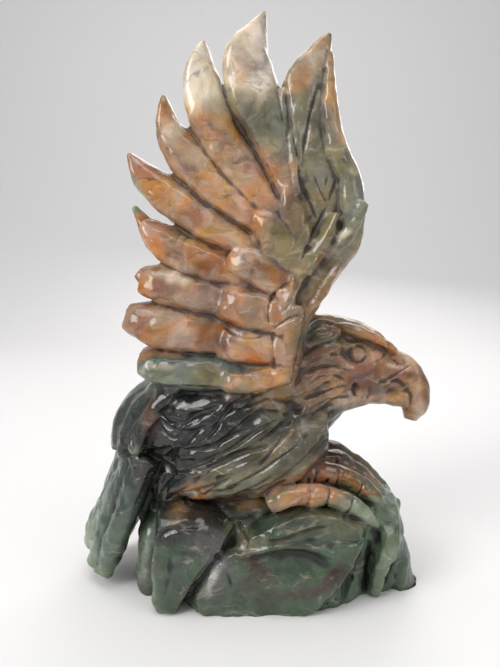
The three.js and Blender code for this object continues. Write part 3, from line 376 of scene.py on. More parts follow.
# Strokes drawn over the photo, along the grooves of the carving, by window and by how far
# out the surface is there: (half width, depth, points from end to end). A negative depth is a ridge.
PHOTO_STROKES = [
    ("photo", 16, [
        (0.9, 0.6, [(137, 372), (125, 395), (117, 415), (112, 435), (115, 449)]),
        (1.2, 1.2, [(150, 396), (139, 410), (133, 425), (131, 440), (136, 452)]),
        (0.9, 0.7, [(130, 416), (123, 432), (120, 445), (127, 453)]),
        (0.8, 0.6, [(146, 414), (141, 430), (143, 447)]),
        (1.3, 1.3, [(118, 453), (130, 457), (150, 454), (166, 449), (182, 440)]),
        (0.9, 0.5, [(133, 463), (126, 490), (122, 505)]),
        (0.9, 0.5, [(154, 464), (143, 490), (131, 515)]),
    ]),
    ("photo", 20, [
        (1.3, 1.1, [(278, 77), (283.7, 82), (287.5, 107), (291, 130), (297, 153), (299, 163)]),
        (1.1, 1.0, [(319, 82), (312, 107), (308.5, 124), (301, 165)]),
        (0.8, 0.6, [(326.7, 99.5), (332.4, 114.8)]),
    ]),
    ("photo", 21, [
        (1.0, 0.9, [(327.7, 203), (321, 190), (314, 173)]),
        (0.9, 0.6, [(327.7, 203), (333, 190), (339, 176.5)]),
        (1.2, 1.2, [(299, 163), (303, 185), (312, 206), (318, 222)]),
    ]),
    ("photo", 22, [
        (1.2, 1.1, [(327.7, 203), (315, 232), (299, 264.5)]),
        (0.9, 0.5, [(330, 165), (322, 200), (300, 232), (292, 250)]),
        (0.9, 0.5, [(345, 205), (330, 235), (312, 262), (304, 290)]),
    ]),
    ("photo", 23, [
        (1.3, 1.6, [(151, 386), (165, 389.5), (190, 389), (222, 389.5)]),
        (0.9, 0.7, [(155, 392.5), (166, 397.5), (178, 400), (190, 397.5), (198, 395)]),
        (1.5, 1.6, [
            (157, 411), (163, 419), (172, 422), (183, 422.5), (192, 417), (204, 412), (214, 408),
            (224, 404),
        ]),
        (1.1, 1.0, [(158, 423), (168, 431), (178, 427), (186, 421)]),
        (1.0, 1.0, [(156, 426), (160, 435), (170, 441), (178, 439), (183, 432)]),
        (1.1, 1.3, [
            (262, 389), (250, 394), (240, 400), (232, 406), (222, 415), (216, 426), (205, 438),
            (193, 447),
        ]),
        (1.8, 2.2, [(192, 437), (181, 446), (172, 455), (163, 468), (156, 485), (149, 500), (139, 520)]),
        (1.1, 1.3, [
            (287, 415), (270, 422), (256, 429), (245, 437), (232, 446), (215, 455), (200, 464),
            (185, 470), (172, 479),
        ]),
        (1.0, 0.9, [(256, 426), (240, 431), (226, 438), (212, 447), (198, 452)]),
        (1.2, 1.3, [(296, 426), (284, 433), (274, 445), (266, 456), (257, 465)]),
        (1.0, 1.0, [(290, 428), (276, 437), (262, 444), (240, 451), (222, 460), (206, 468), (195, 474)]),
        (1.2, 1.3, [(306, 435), (292, 447), (275, 458), (262, 467), (245, 478), (230, 487), (213, 497)]),
        (1.0, 1.0, [(216, 461), (207, 470), (197, 480), (189, 487)]),
        (1.0, 1.0, [(234, 474), (218, 483), (208, 494), (199, 503)]),
        (1.1, 1.2, [(277, 470), (262, 481), (248, 491), (232, 499), (214, 505)]),
        (0.9, 0.9, [(288, 478), (272, 487), (258, 500)]),
        (0.8, 0.8, [(208, 467), (192, 471), (178, 475)]),
        (0.9, 0.9, [(176, 476), (163, 488), (153, 504)]),
        (0.8, 0.7, [(190, 487), (176, 498), (160, 512)]),
        (1.1, 1.1, [(250, 405), (265, 399.5), (280, 400.5), (293, 406), (303, 415)]),
        (0.7, 0.5, [(262, 405), (278, 407), (294, 414)]),
        (0.7, 0.5, [(258, 411), (275, 412), (290, 418)]),
        (0.7, 0.5, [(236, 452), (216, 464), (196, 476)]),
        (0.7, 0.5, [(300, 434), (280, 450), (256, 460)]),
        (0.8, 0.6, [(262, 452), (240, 461), (220, 470), (204, 480)]),
        (0.8, 0.6, [(250, 468), (236, 478), (222, 492)]),
        (0.8, 0.6, [(252, 415), (238, 425), (226, 434)]),
        (0.8, 0.7, [(208, 424), (196, 432), (186, 440)]),
        (0.7, 0.5, [(202, 417), (190, 426), (180, 434)]),
        (2.2, 1.2, [(270, 399), (285, 404), (303.5, 413)]),
    ]),
    ("head", 5, [
        (0.8, 0.9, [(552, 485), (560, 520), (553, 570), (540, 600)]),
        (0.6, 0.4, [(585, 350), (560, 400), (570, 440)]),
        (0.6, 0.3, [(600, 480), (620, 520), (600, 570)]),
    ]),
    ("head", 6, [
        (0.8, 1.0, [(575, 343), (500, 378), (430, 412), (360, 428)]),
        (0.6, 0.5, [(420, 415), (485, 420), (535, 447), (562, 500)]),
        (0.9, 0.9, [(462, 322), (490, 345), (470, 352)]),
    ]),
    ("head", 7, [
        (1.5, 1.9, [(375, 444), (435, 428), (495, 440), (548, 478)]),
        (0.6, 0.4, [(345, 500), (420, 535), (480, 560)]),
    ]),
    ("head", 8, [
        (0.7, 0.5, [(225, 110), (320, 140), (390, 185), (430, 230)]),
        (0.8, 0.7, [(330, 440), (345, 490), (338, 540)]),
    ]),
    ("head", 9, [
        (0.7, 0.5, [(440, 292), (405, 318), (372, 330)]),
        (0.6, 0.4, [(205, 140), (300, 170), (370, 215), (400, 250)]),
    ]),
    ("head", 10, [
        (0.9, 0.9, [(440, 290), (400, 262), (360, 243), (310, 228), (250, 228), (205, 205)]),
    ]),
    ("head", 11.5, [
        (0.6, 0.35, [(225, 250), (215, 285), (236, 322), (262, 336)]),
        (0.5, 0.3, [(225, 250), (262, 258), (270, 262)]),
    ]),
    ("head", 12, [
        (0.9, 0.9, [(30, 200), (110, 140), (180, 155), (240, 215)]),
        (0.8, 0.7, [(0, 300), (90, 250), (190, 225)]),
        (0.7, 0.6, [(0, 345), (110, 300), (220, 300)]),
        (0.7, 0.6, [(30, 235), (90, 190), (150, 180)]),
        (1.0, 1.0, [(0, 385), (100, 352), (180, 348), (240, 376), (320, 372)]),
        (1.0, 0.9, [(40, 640), (130, 600), (180, 570)]),
        (0.8, 0.7, [(30, 700), (70, 660), (110, 620)]),
    ]),
    ("head", 13, [
        (0.8, 0.7, [(0, 440), (110, 395), (170, 400), (235, 430)]),
        (1.1, 1.1, [(0, 505), (100, 480), (190, 455), (245, 450)]),
        (0.6, 0.4, [(0, 475), (80, 440), (150, 430)]),
        (0.8, 0.7, [(20, 560), (110, 525), (190, 515), (250, 520)]),
        (0.7, 0.5, [(0, 600), (90, 560), (200, 545)]),
    ]),
    ("wing", 25, [
        (0.6, -0.5, [(345, 594), (370, 614), (400, 627), (440, 634), (482, 627)]),
        (0.6, 0.7, [(340, 584), (400, 612), (445, 620), (485, 612)]),
    ]),
    ("wing", 27, [
        (0.9, 1.1, [(570, 430), (520, 470), (497, 520), (500, 600)]),
    ]),
    ("wing", 28, [
        (0.9, 1.1, [(505, 600), (560, 558), (618, 540)]),
        (0.9, 1.0, [(514, 600), (510, 660), (518, 730)]),
        (0.9, 0.9, [(622, 548), (602, 640), (582, 720)]),
        (0.6, 0.5, [(585, 410), (590, 440), (575, 490), (545, 540)]),
    ]),
    ("wing", 28.5, [
        (0.5, 0.4, [(596, 560), (590, 600), (572, 660), (556, 730)]),
    ]),
    ("feet", 17, [
        (0.75, 1.2, [(347, 100), (338, 158)]),
        (0.75, 1.2, [(434, 88), (412, 172)]),
        (0.75, 1.2, [(518, 142), (490, 205)]),
        (0.9, 0.9, [(640, 405), (612, 490), (577, 565)]),
    ]),
    ("feet", 19, [
        (1.0, 2.2, [(548, 420), (536, 480), (524, 562)]),
    ]),
    ("feet", 20, [
        (0.9, 0.8, [(600, 330), (575, 400), (556, 450)]),
    ]),
    ("feet", 23, [
        (0.8, 0.7, [(520, 225), (560, 262), (572, 300)]),
    ]),
    ("feet", 25, [
        (0.75, 1.3, [(327, 158), (312, 240)]),
        (0.75, 1.3, [(400, 162), (376, 252)]),
        (0.75, 1.3, [(488, 195), (442, 282)]),
    ]),
    ("feet", 27, [
        (1.2, 1.0, [(0, 330), (80, 312), (180, 290), (260, 262)]),
    ]),
    ("feet", 28, [
        (0.9, -0.8, [(140, 345), (185, 350), (230, 340), (280, 322), (330, 310), (410, 295)]),
        (1.1, 0.6, [(150, 362), (230, 355), (330, 326), (410, 312)]),
        (1.1, 1.1, [(545, 365), (520, 430), (485, 490), (438, 580)]),
        (1.0, 0.8, [(60, 340), (30, 370), (10, 420)]),
        (0.9, 0.7, [(110, 345), (85, 370), (90, 400)]),
        (1.0, 1.4, [(60, 330), (86, 362), (104, 398)]),
    ]),
    ("feet", 29, [
        (1.2, -0.7, [(0, 430), (100, 415), (250, 385), (380, 395), (430, 440)]),
        (2.6, 1.5, [(80, 440), (200, 418), (320, 428), (400, 470)]),
        (1.2, 0.5, [(250, 400), (330, 440), (370, 480)]),
    ]),
    ("rock", 9, [
        (0.6, -0.4, [(170, 170), (110, 300), (60, 440), (32, 555)]),
    ]),
    ("rock", 15, [
        (0.7, -0.5, [(215, 110), (150, 300), (95, 480), (68, 600)]),
    ]),
    ("rock", 28, [
        (1.2, 1.2, [(600, 500), (560, 560), (505, 630), (465, 740)]),
        (0.9, -0.5, [(345, 420), (335, 560), (310, 690)]),
        (1.4, 0.9, [(350, 470), (380, 430), (450, 410), (560, 405)]),
        (1.4, 0.7, [(520, 470), (590, 530), (640, 600), (660, 660)]),
    ]),
    ("rock", 29, [
        (0.9, -0.6, [(560, 545), (500, 620), (440, 700)]),
        (2.2, 0.6, [(400, 520), (390, 620), (370, 720)]),
    ]),
]
# The ring round the eye, and the dark pits in the rock, by (x, y, half width).
EYE_RING = {"middle": (358.6, 353.9), "radius": 8.3, "half": 0.5, "depth": 0.45, "out": 11.5, "steps": 12}
PITS = [(355, 587, 1.0), (310, 607, 0.9), (336, 601, 0.7), (396, 587, 0.9), (327, 603, 0.6)]
PIT_DEPTH, PIT_OUT = 1.3, 24


def seen(window, out, point):
    """The pattern's [x, z] of a point of a window, on the upright plane that is so far out."""
    left, top, larger = WINDOWS[window]
    across = (left + point[0] / larger - PHOTO_SIZE[0] / 2) / LENS_PIXELS
    down = (top + point[1] / larger - PHOTO_SIZE[1] / 2) / LENS_PIXELS
    c, s = math.cos(math.radians(CAMERA_DOWN)), math.sin(math.radians(CAMERA_DOWN))
    reach = (-CAMERA_PATTERN[1] - out) / (c - down * s)
    x, z = CAMERA_PATTERN[0] + across * reach, CAMERA_PATTERN[2] - (s + down * c) * reach
    return [round(x, 1), round(z, 1)]


def eye_ring():
    (x, y), radius, steps = EYE_RING["middle"], EYE_RING["radius"], EYE_RING["steps"]
    angles = [2 * math.pi * k / steps for k in range(steps + 1)]
    return [(x + radius * math.cos(a), y + radius * math.sin(a)) for a in angles]


def drawn_strokes():
    groups = PHOTO_STROKES + [
        ("photo", EYE_RING["out"], [(EYE_RING["half"], EYE_RING["depth"], eye_ring())]),
        ("photo", PIT_OUT, [(half, PIT_DEPTH, [(x - 1, y), (x + 1, y + 0.4)]) for x, y, half in PITS]),
    ]
    return [
        (half, depth, out, [seen(window, out, point) for point in points])
        for window, out, strokes in groups
        for half, depth, points in strokes
    ]


STROKES = drawn_strokes()

# The pattern's own box, which the finished solid's box is made from.
PATTERN_LOW = np.array([-64.436, -31.4, 0.0])
PATTERN_HIGH = np.array([63.722, 29.4, 190.334])
LOW, HIGH = (np.array(corner, float) for corner in CAD_BOX)
SCALE = (HIGH - LOW) / (PATTERN_HIGH - PATTERN_LOW)


def placed(points):
    """Pattern millimetres to metres in the part's frame."""
    return LOW + (np.asarray(points, float) - PATTERN_LOW) * SCALE


def drawn(points):
    """Metres in the part's frame to pattern millimetres."""
    return PATTERN_LOW + (np.asarray(points, float) - LOW) / SCALE


# curves and skins
def along(values, s):
    """The value at the share s of the way through evenly spaced values."""
    return float(np.interp(s * (len(values) - 1), range(len(values)), values))


class Curve:
    """A centripetal Catmull-Rom curve through [x, z] or [x, y, z] points."""

    def __init__(self, points):
        full = [(p[0], 0.0, p[1]) if len(p) == 2 else tuple(p) for p in points]
        self.p = np.array(full, float)

    def at(self, s):
        p, n = self.p, len(self.p)
        t = min(max(s, 0.0), 1.0) * (n - 1)
        i = min(int(t), n - 2)
        w = t - i
        p0 = p[i - 1] if i > 0 else 2 * p[0] - p[1]
        p3 = p[i + 2] if i + 2 < n else 2 * p[-1] - p[-2]
        p1, p2 = p[i], p[i + 1]
        spans = ((p0, p1), (p1, p2), (p2, p3))
        d0, d1, d2 = (max(np.linalg.norm(b - a), 1e-6) ** 0.5 for a, b in spans)
        t1 = ((p1 - p0) / d0 - (p2 - p0) / (d0 + d1) + (p2 - p1) / d1) * d1
        t2 = ((p2 - p1) / d1 - (p3 - p1) / (d1 + d2) + (p3 - p2) / d2) * d1
        return p1 + t1 * w + (-3 * p1 + 3 * p2 - 2 * t1 - t2) * w**2 + (2 * p1 - 2 * p2 + t1 + t2) * w**3

    def heading(self, s):
        d = self.at(min(s + 1e-3, 1)) - self.at(max(s - 1e-3, 0))
        return d / np.linalg.norm(d)


SOUP = {"v": [], "f": [], "n": 0}


def skin(rings, swells=((0, 0, 0), (0, 0, 0))):
    """Adds a closed solid through rings of points to the soup, closed by fans at its ends."""
    rings = np.array(rings, float)
    count = rings.shape[1]
    faces = []
    for r in range(len(rings) - 1):
        for i in range(count):
            a, b = r * count + i, r * count + (i + 1) % count
            faces += [(a, b, b + count), (a, b + count, a + count)]
    first = len(rings) * count
    last = first - count
    for i in range(count):
        k = (i + 1) % count
        faces += [(first, k, i), (first + 1, last + i, last + k)]
    ends = [rings[0].mean(0) + swells[0], rings[-1].mean(0) + swells[1]]
    points = np.vstack([rings.reshape(-1, 3), ends])
    faces = np.array(faces)
    a, b, c = (points[faces[:, k]] for k in range(3))
    if np.einsum("ij,ij->i", a, np.cross(b, c)).sum() < 0:
        faces = faces[:, ::-1]
    SOUP["v"].append(points)
    SOUP["f"].append(faces + SOUP["n"])
    SOUP["n"] += len(points)


def rounded_section(section, steps, corner):
    """A closed section with its corners eased, in so many steps and over this share of its sides."""
    p = np.array(section, float)
    out = []
    for i in range(len(p)):
        a, b, c = p[i - 1], p[i], p[(i + 1) % len(p)]
        start, end = b + (a - b) * corner * 0.5, b + (c - b) * corner * 0.5
        for k in range(steps + 1):
            t = k / steps
            out.append((1 - t) ** 2 * start + 2 * t * (1 - t) * b + t**2 * end)
    return np.array(out)


# A feather's cross-section as shares of its half width and its thickness: the front swells between
# the tucked upper edge and the proud lower one.
FINE_SHINGLE = [
    (1.0, 0.15), (0.86, 0.48), (0.6, 0.78), (0.25, 0.95), (-0.15, 1.02), (-0.55, 1.04),
    (-0.82, 0.97), (-0.96, 0.8), (-1.0, 0.58), (-0.95, 0.3), (-0.86, 0.0),
]


def feather(side, spec, stations=28):
    path, half, out = Curve(spec["spine"]), spec["half"], spec["out"]
    rings = []
    for i in range(stations + 1):
        s = i / stations
        at, h = path.at(s), path.heading(s)
        across = np.array([h[2], 0, -h[0]])
        back = out[0][0] + (out[1][0] - out[0][0]) * s
        front = out[0][1] + (out[1][1] - out[0][1]) * s
        late = max(0.0, (s - THINNING_FROM) / (1 - THINNING_FROM))
        thinned = 1 + (TIP_THINNING - 1) * late * late
        width = along(half, s)
        ring = []
        for u, d in FINE_SHINGLE:
            p = at + across * u * width
            ring.append((p[0], side * ((back + front) / 2 + (d - 0.5) * (front - back) * thinned), p[2]))
        rings.append(ring)
    skin(rings)


def limb(side, spec, sides=24, stations=30):
    line = Curve([(x, side * out, z) for x, out, z in spec["path"]])
    rings = []
    for i in range(stations + 1):
        s = i / stations
        h = line.heading(s)
        up = np.array([-h[2], 0, h[0]]) / math.hypot(h[0], h[2])
        wide, deep = along(spec["wide"], s), along(spec["deep"], s)
        ring = []
        for k in range(sides):
            a = 2 * math.pi * (k + 0.5) / sides
            p = line.at(s) + up * deep * math.sin(a)
            ring.append((p[0], p[1] + wide * math.cos(a), p[2]))
        rings.append(ring)
    skin(rings)


def egg(centre, halves, sides=32, levels=16):
    rings = []
    for i in range(1, levels):
        b = math.pi * i / levels
        ring = []
        for k in range(sides):
            a = 2 * math.pi * k / sides
            shares = (math.sin(b) * math.cos(a), math.sin(b) * math.sin(a), math.cos(b))
            ring.append([middle + share * half for middle, share, half in zip(centre, shares, halves)])
        rings.append(ring)
    skin(rings)


def slice_at(slices, x):
    """The row of a table of slices at x, or None beyond its ends."""
    s = np.array(slices, float)
    if x < s[0, 0] or x > s[-1, 0]:
        return None
    return [np.interp(x, s[:, 0], s[:, k]) for k in range(4)]


def sliced(slices, out, sides=40, stations=60):
    rings = []
    for x in np.linspace(slices[0][0], slices[-1][0], stations):
        _, z, tall, wide = slice_at(slices, x)
        a = 2 * math.pi * np.arange(sides) / sides
        rings.append(np.stack([np.full(sides, x), out + wide * np.cos(a), z + tall * np.sin(a)], 1))
    skin(rings)


def flank_at(x, z):
    """How far out the flank of the torso or the thigh is at [x, z]."""
    reach = [LEAST_FLANK]
    for slices, out in ((TORSO, 0), (THIGH, THIGH_OUT)):
        cut = slice_at(slices, x)
        if cut:
            rise = (z - cut[1]) / cut[2]
            if rise * rise < 1:
                reach.append(out + cut[3] * math.sqrt(1 - rise * rise))
    return max(reach)


# The front of a lock in cross-section, as shares of its half width and its rise.
FINE_LOCK = [
    (1.0, 0.1), (0.7, 0.42), (0.35, 0.72), (0.1, 0.88),
    (-0.3, 0.98), (-0.65, 1.02), (-0.88, 0.9), (-1.0, 0.3),
]


def lock(side, spec, stations=18):
    path, rise = Curve(spec["spine"]), spec.get("rise", 1.8)
    rings = []
    for i in range(stations + 1):
        s = i / stations
        at, h = path.at(s), path.heading(s)
        down = np.array([-h[2], 0, h[0]]) * along(spec["half"], s)
        ring = []
        for u, lift in [*((u, v * rise) for u, v in FINE_LOCK), (0, -LOCK_ROOT)]:
            p = at - down * u
            ring.append((p[0], side * (flank_at(p[0], p[2]) + lift), p[2]))
        rings.append(ring)
    skin(rings)


TOP_INSET = 0.6  # the share by which the swelling top of a facet is drawn in


def slab(side, spec):
    outline = rounded_section(spec["outline"], 3, 0.3)
    middle = np.array(spec["outline"], float).mean(0)
    inset, swell = spec.get("inset", 0.2), spec.get("swell", 1)
    back, front = spec["out"]
    edge = front + (back - front) * SLAB_EDGE
    rings = []
    layers = [(back, 0), (edge, 0), ((edge + 2 * front) / 3, inset * 0.5), (front, inset)]
    for y, share in layers + [(front + swell * 0.5, TOP_INSET)]:
        p = outline + (middle - outline) * share
        rings.append(np.stack([p[:, 0], np.full(len(p), side * y), p[:, 1]], 1))
    skin(rings, ((0, 0, 0), (0, side * swell * 0.5, 0)))


WAVE_LEAN = 0.5  # how far the waves round the rock's core turn from one level to the next, in radians


def rock_core(sides=56, heights=26):
    table = np.array(ROCK_LEVELS, float)
    rings = []
    for level in np.linspace(0, len(table) - 1, heights):
        z, x, long, wide = (np.interp(level, range(len(table)), table[:, k]) for k in range(4))
        ring = []
        for k in range(sides):
            a = 2 * math.pi * k / sides
            lean = WAVE_LEAN * level
            wave = 1 + sum(w["size"] * math.sin(w["turns"] * a + w["shift"] + lean) for w in ROCK_WAVES)
            ring.append((x + long * wave * math.cos(a), wide * wave * math.sin(a), z))
        rings.append(ring)
    skin(rings)


# the carving's forms
def wing(side):
    limb(side, ARM)
    coverts = [{**spec, "half": [COVERT_FULLNESS * half for half in spec["half"]]} for spec in COVERTS]
    for spec in [WEB, FAN, COVERT_BED] + FLIGHT + coverts:
        feather(side, spec)
    if side == NEAR:
        plates = ARM_PLATES[:-len(LAPPETS)] + LAPPETS + UNDER_TIPS
    else:
        plates = ARM_PLATES[-HIDDEN_ARM_PLATES:]
    for spec in plates:
        feather(side, spec)


def bird():
    sliced(TORSO, 0)
    for side in (NEAR, FAR):
        sliced(THIGH, side * THIGH_OUT)
        wing(side)
        for ridge in (BROW, CHEEK, CERE_EDGE):
            limb(side, ridge)
        for spec in RUMP_FOLDS + TAIL_STEPS:
            feather(side, spec)
    for spec in (LOWER_BACK, TAIL_FILLET):
        egg(spec["centre"], spec["halves"])
    limb(NEAR, UPPER_BEAK)
    limb(NEAR, LOWER_BEAK)
    for spec in FLANK_LOCKS + NECK_LOCKS:
        lock(NEAR, spec)
    for spec in FLANK_LOCKS[:HIDDEN_FLANK_LOCKS] + NECK_LOCKS[:HIDDEN_NECK_LOCKS]:
        lock(FAR, spec)
    feather(NEAR, TAIL_MIDDLE)
    feather(NEAR, RUMP_RIDGE)
    for path in TOES + HIDDEN_TOES:
        limb(NEAR, {"path": path, "wide": TOE_WIDE, "deep": TOE_DEEP})


def rock():
    rock_core()
    for spec in NEAR_FACETS:
        slab(NEAR, spec)
    for spec in FAR_FACETS:
        slab(FAR, spec)
    for spec in ROCK_ENDS:
        limb(NEAR, spec)


# carving on the joined surface
FAR_SHARE = 0.6  # how deep the strokes are on the far side, as a share of the near one
STROKE_REACH = 7  # a stroke cuts only the surface this near to its own distance out
STROKE_START, STROKE_END = 0.16, 0.2  # shares of its length over which a stroke begins and ends
STROKE_TIP = 0.2  # the share of its depth that a stroke has at its very ends
HOLLOW_REACH = 6  # a hollow leaves stone that stands out more than this beyond its egg


def smooth_step(x):
    x = np.clip(x, 0, 1)
    return x * x * (3 - 2 * x)


def stroke_depths(points, normals, side):
    """How deep the drawn strokes go at pattern points, on what faces one side or upwards."""
    cut = np.zeros(len(points))
    raised = np.zeros(len(points))
    facing = smooth_step((side * normals[:, 1] + 0.25) / 0.5)
    xz = points[:, [0, 2]]
    for width, deep, out, line in STROKES:
        curve = Curve(line)
        steps = max(6, 5 * len(line))
        trace = np.array([curve.at(i / steps)[[0, 2]] for i in range(steps + 1)])
        reach = width * 1.1
        near = (facing > 0) & (np.abs(side * points[:, 1] - out) < STROKE_REACH)
        near &= (xz > trace.min(0) - reach).all(1) & (xz < trace.max(0) + reach).all(1)
        index = np.nonzero(near)[0]
        if not len(index):
            continue
        q = xz[index]
        best = np.full(len(index), 1e9)
        share = np.zeros(len(index))
        for k in range(steps):
            a, b = trace[k], trace[k + 1]
            d = b - a
            t = np.clip(((q - a) @ d) / max(d @ d, 1e-9), 0, 1)
            gap = np.linalg.norm(q - (a + t[:, None] * d), axis=1)
            closer = gap < best
            best[closer] = gap[closer]
            share[closer] = (k + t[closer]) / steps
        taper = smooth_step(share / STROKE_START) * smooth_step((1 - share) / STROKE_END)
        taper = taper * (1 - STROKE_TIP) + STROKE_TIP
        profile = np.clip(1 - best / width, 0, 1)
        if deep > 0:
            cut[index] = np.maximum(cut[index], deep * taper * profile**1.2)
        else:
            raised[index] = np.maximum(raised[index], -deep * taper * smooth_step(profile))
    return cut * facing, raised * facing


def both_sides(points, normals):
    """The drawn strokes on the near side, and fainter on the far one."""
    near, near_raised = stroke_depths(points, normals, NEAR)
    far, far_raised = stroke_depths(points, normals, FAR)
    return np.maximum(near, far * FAR_SHARE), np.maximum(near_raised, far_raised * FAR_SHARE)


def carve_hollow(points, centre, halves, pitch, side):
    """Pushes in the points of one side that an egg-shaped cutter reaches."""
    c, s = math.cos(math.radians(pitch)), math.sin(math.radians(pitch))
    dx, dz = points[:, 0] - centre[0], points[:, 2] - centre[2]
    u, w = (dx * c - dz * s) / halves[0], (dx * s + dz * c) / halves[2]
    r2 = u * u + w * w
    inner = centre[1] - side * halves[1] * np.sqrt(np.clip(1 - r2, 0, 1))
    away = side * points[:, 1]
    hit = (r2 < 1) & (away > side * inner) & (away < side * centre[1] + halves[1] + HOLLOW_REACH)
    points[hit, 1] = inner[hit]
    return points


def waves(points, size, seed):
    """A smooth repeatable wobble of about unit height, with features about as large as size."""
    rng = np.random.default_rng(seed)
    total = np.zeros(len(points))
    for _ in range(7):
        direction = rng.normal(size=3)
        direction *= 2 * math.pi / (size * rng.uniform(0.8, 1.6)) / np.linalg.norm(direction)
        total += np.sin(points @ direction + rng.uniform(0, 6.3))
    return total / 2.6


def mesh_arrays(mesh):
    points = np.empty(len(mesh.vertices) * 3)
    mesh.vertices.foreach_get("co", points)
    normals = np.empty(len(mesh.vertices) * 3)
    mesh.vertices.foreach_get("normal", normals)
    edges = np.empty(len(mesh.edges) * 2, int)
    mesh.edges.foreach_get("vertices", edges)
    return points.reshape(-1, 3), normals.reshape(-1, 3), edges.reshape(-1, 2)


def relaxed(points, edges, rounds, share=0.5):
    """Each point drawn towards the mean of its neighbours, a few times over."""
    a, b = edges.T
    count = np.bincount(a, minlength=len(points)) + np.bincount(b, minlength=len(points))
    count = np.maximum(count, 1)
    p = points.copy()
    for _ in range(rounds):
        sums = [np.bincount(a, p[b, k], len(p)) + np.bincount(b, p[a, k], len(p)) for k in range(3)]
        p += (np.stack(sums, 1) / count[:, None] - p) * share
    return p


VOXEL = 0.0005
MOST_TRIANGLES = 194000
# Unevenness of hand work, as (height, length, seed) of its waves: all over, and more on the rock,
# which ends ROCK_TOP high and blends into the bird over ROCK_FADE.
UNEVEN = [(0.22, 9, 1), (0.1, 3.4, 2)]
UNEVEN_ROCK = [(0.45, 12, 3), (0.18, 4.5, 4)]
ROCK_TOP, ROCK_FADE = 34, 6
EYE_BULGE, EYE_INNER = 0.6, 4  # how round the eyeball is, and how far out its stone begins
# The plainer stone, which keeps fewer triangles: past PLAIN_FROM, and turned to the far side or
# higher than the near wing's carving reaches.
PLAIN_FROM, PLAIN_FACING, PLAIN_HEIGHT = -3, -0.2, 84
THINNING, THINNING_ELSEWHERE, THINNING_FACTOR = 1.0, 0.5, 5e-5
# How much the fine hollows, the broad ones and the strokes add to the painted shade in the grooves
# (bulges give the painted highlight on the ridges).
FINE_DARK, BROAD_DARK, STROKE_DARK = 1.5, 0.5, 0.3


def applied(obj, kind, **settings):
    modifier = obj.modifiers.new(kind.title(), kind)
    for key, value in settings.items():
        setattr(modifier, key, value)
    with bpy.context.temp_override(object=obj, active_object=obj, selected_objects=[obj]):
        bpy.ops.object.modifier_apply(modifier=modifier.name)


def carving():
    bird()
    rock()
    points = placed(np.vstack(SOUP["v"]))
    mesh = bpy.data.meshes.new("eagle_carved")
    mesh.from_pydata(points.tolist(), [], np.vstack(SOUP["f"]).tolist())
    obj = bpy.data.objects.new("eagle_carved", mesh)
    bpy.context.collection.objects.link(obj)
    applied(obj, "REMESH", mode="VOXEL", voxel_size=VOXEL, adaptivity=0.0)
    mesh = obj.data

    co, _, edges = mesh_arrays(mesh)
    p = relaxed(drawn(co), edges, 2)
    for side in (NEAR, FAR):
        for pit in (SOCKET, JAW_PIT):
            centre = [pit["x"], side * pit["out"], pit["z"]]
            p = carve_hollow(p, centre, pit["halves"], pit["pitch"], side)
    for centre, halves, pitch in ROCK_HOLLOWS:
        p = carve_hollow(p, centre, halves, pitch, NEAR if centre[1] < 0 else FAR)
    # The eyeball rises again in its socket.
    for side in (NEAR, FAR):
        d2 = (p[:, 0] - EYE["x"]) ** 2 + (p[:, 2] - EYE["z"]) ** 2
        r = EYE["radius"]
        ball = EYE["out"] + EYE_BULGE * np.sqrt(np.clip(r * r - d2, 0, None))
        on = (d2 < r * r) & (side * p[:, 1] > EYE_INNER) & (side * p[:, 1] < ball)
        p[on, 1] = side * ball[on]
    mesh.vertices.foreach_set("co", placed(p).ravel())
    mesh.update()

    # The unevenness, then the drawn strokes.
    co, normals, edges = mesh_arrays(mesh)
    p = drawn(co)
    uneven = sum(height * waves(p, length, seed) for height, length, seed in UNEVEN)
    on_rock = smooth_step((ROCK_TOP - p[:, 2]) / ROCK_FADE)
    uneven += on_rock * sum(height * waves(p, length, seed) for height, length, seed in UNEVEN_ROCK)
    cut, raised = both_sides(p, normals)
    p += normals * (uneven + raised - cut)[:, None]
    p = relaxed(p, edges, 1, 0.4)
    mesh.vertices.foreach_set("co", placed(p).ravel())
    mesh.update()

    triangles = sum(len(poly.vertices) - 2 for poly in mesh.polygons)
    # The side that is carved in full keeps more triangles than the plainer, hidden sides.
    p = drawn(co)
    plainer = (p[:, 1] > PLAIN_FROM) & ((normals[:, 1] > PLAIN_FACING) | (p[:, 2] > PLAIN_HEIGHT))
    group = obj.vertex_groups.new(name="plain")
    group.add(np.nonzero(plainer)[0].tolist(), THINNING, "REPLACE")
    group.add(np.nonzero(~plainer)[0].tolist(), THINNING_ELSEWHERE, "REPLACE")
    applied(
        obj,
        "DECIMATE",
        ratio=min(1.0, MOST_TRIANGLES / triangles),
        use_collapse_triangulate=True,
        vertex_group="plain",
        vertex_group_factor=THINNING_FACTOR,
    )
    obj.vertex_groups.clear()
    mesh = obj.data
    co, normals, edges = mesh_arrays(mesh)
    co = np.clip(co, LOW, HIGH)
    mesh.vertices.foreach_set("co", co.ravel())

    # How hollow the surface is at each point, at two sizes, for the painted shade in the grooves and the
    # painted highlight on the ridges.
    p = drawn(co)
    fine = np.einsum("ij,ij->i", relaxed(p, edges, 6) - p, normals)
    broad = np.einsum("ij,ij->i", relaxed(p, edges, 60) - p, normals)
    cut, _ = both_sides(p, normals)
    hollow = np.clip(fine * FINE_DARK + broad * BROAD_DARK + cut * STROKE_DARK, -1, 1)
    attribute = mesh.attributes.new("hollow", "FLOAT", "POINT")
    attribute.data.foreach_set("value", hollow.astype(np.float32))
    attribute = mesh.attributes.new("stone", "FLOAT_COLOR", "POINT")
    attribute.data.foreach_set("color", stone_and_painted_light_colours(p).astype(np.float32).ravel())
    mesh.update()
    for poly in mesh.polygons:
        poly.use_smooth = True
    return obj


# the stone
def srgb(*rgb):
    """An 8-bit screen colour as linear red, green, blue and opacity."""
    linear = [((c / 255 + 0.055) / 1.055) ** 2.4 if c > 10 else c / 255 / 12.92 for c in rgb]
    return (*linear, 1)


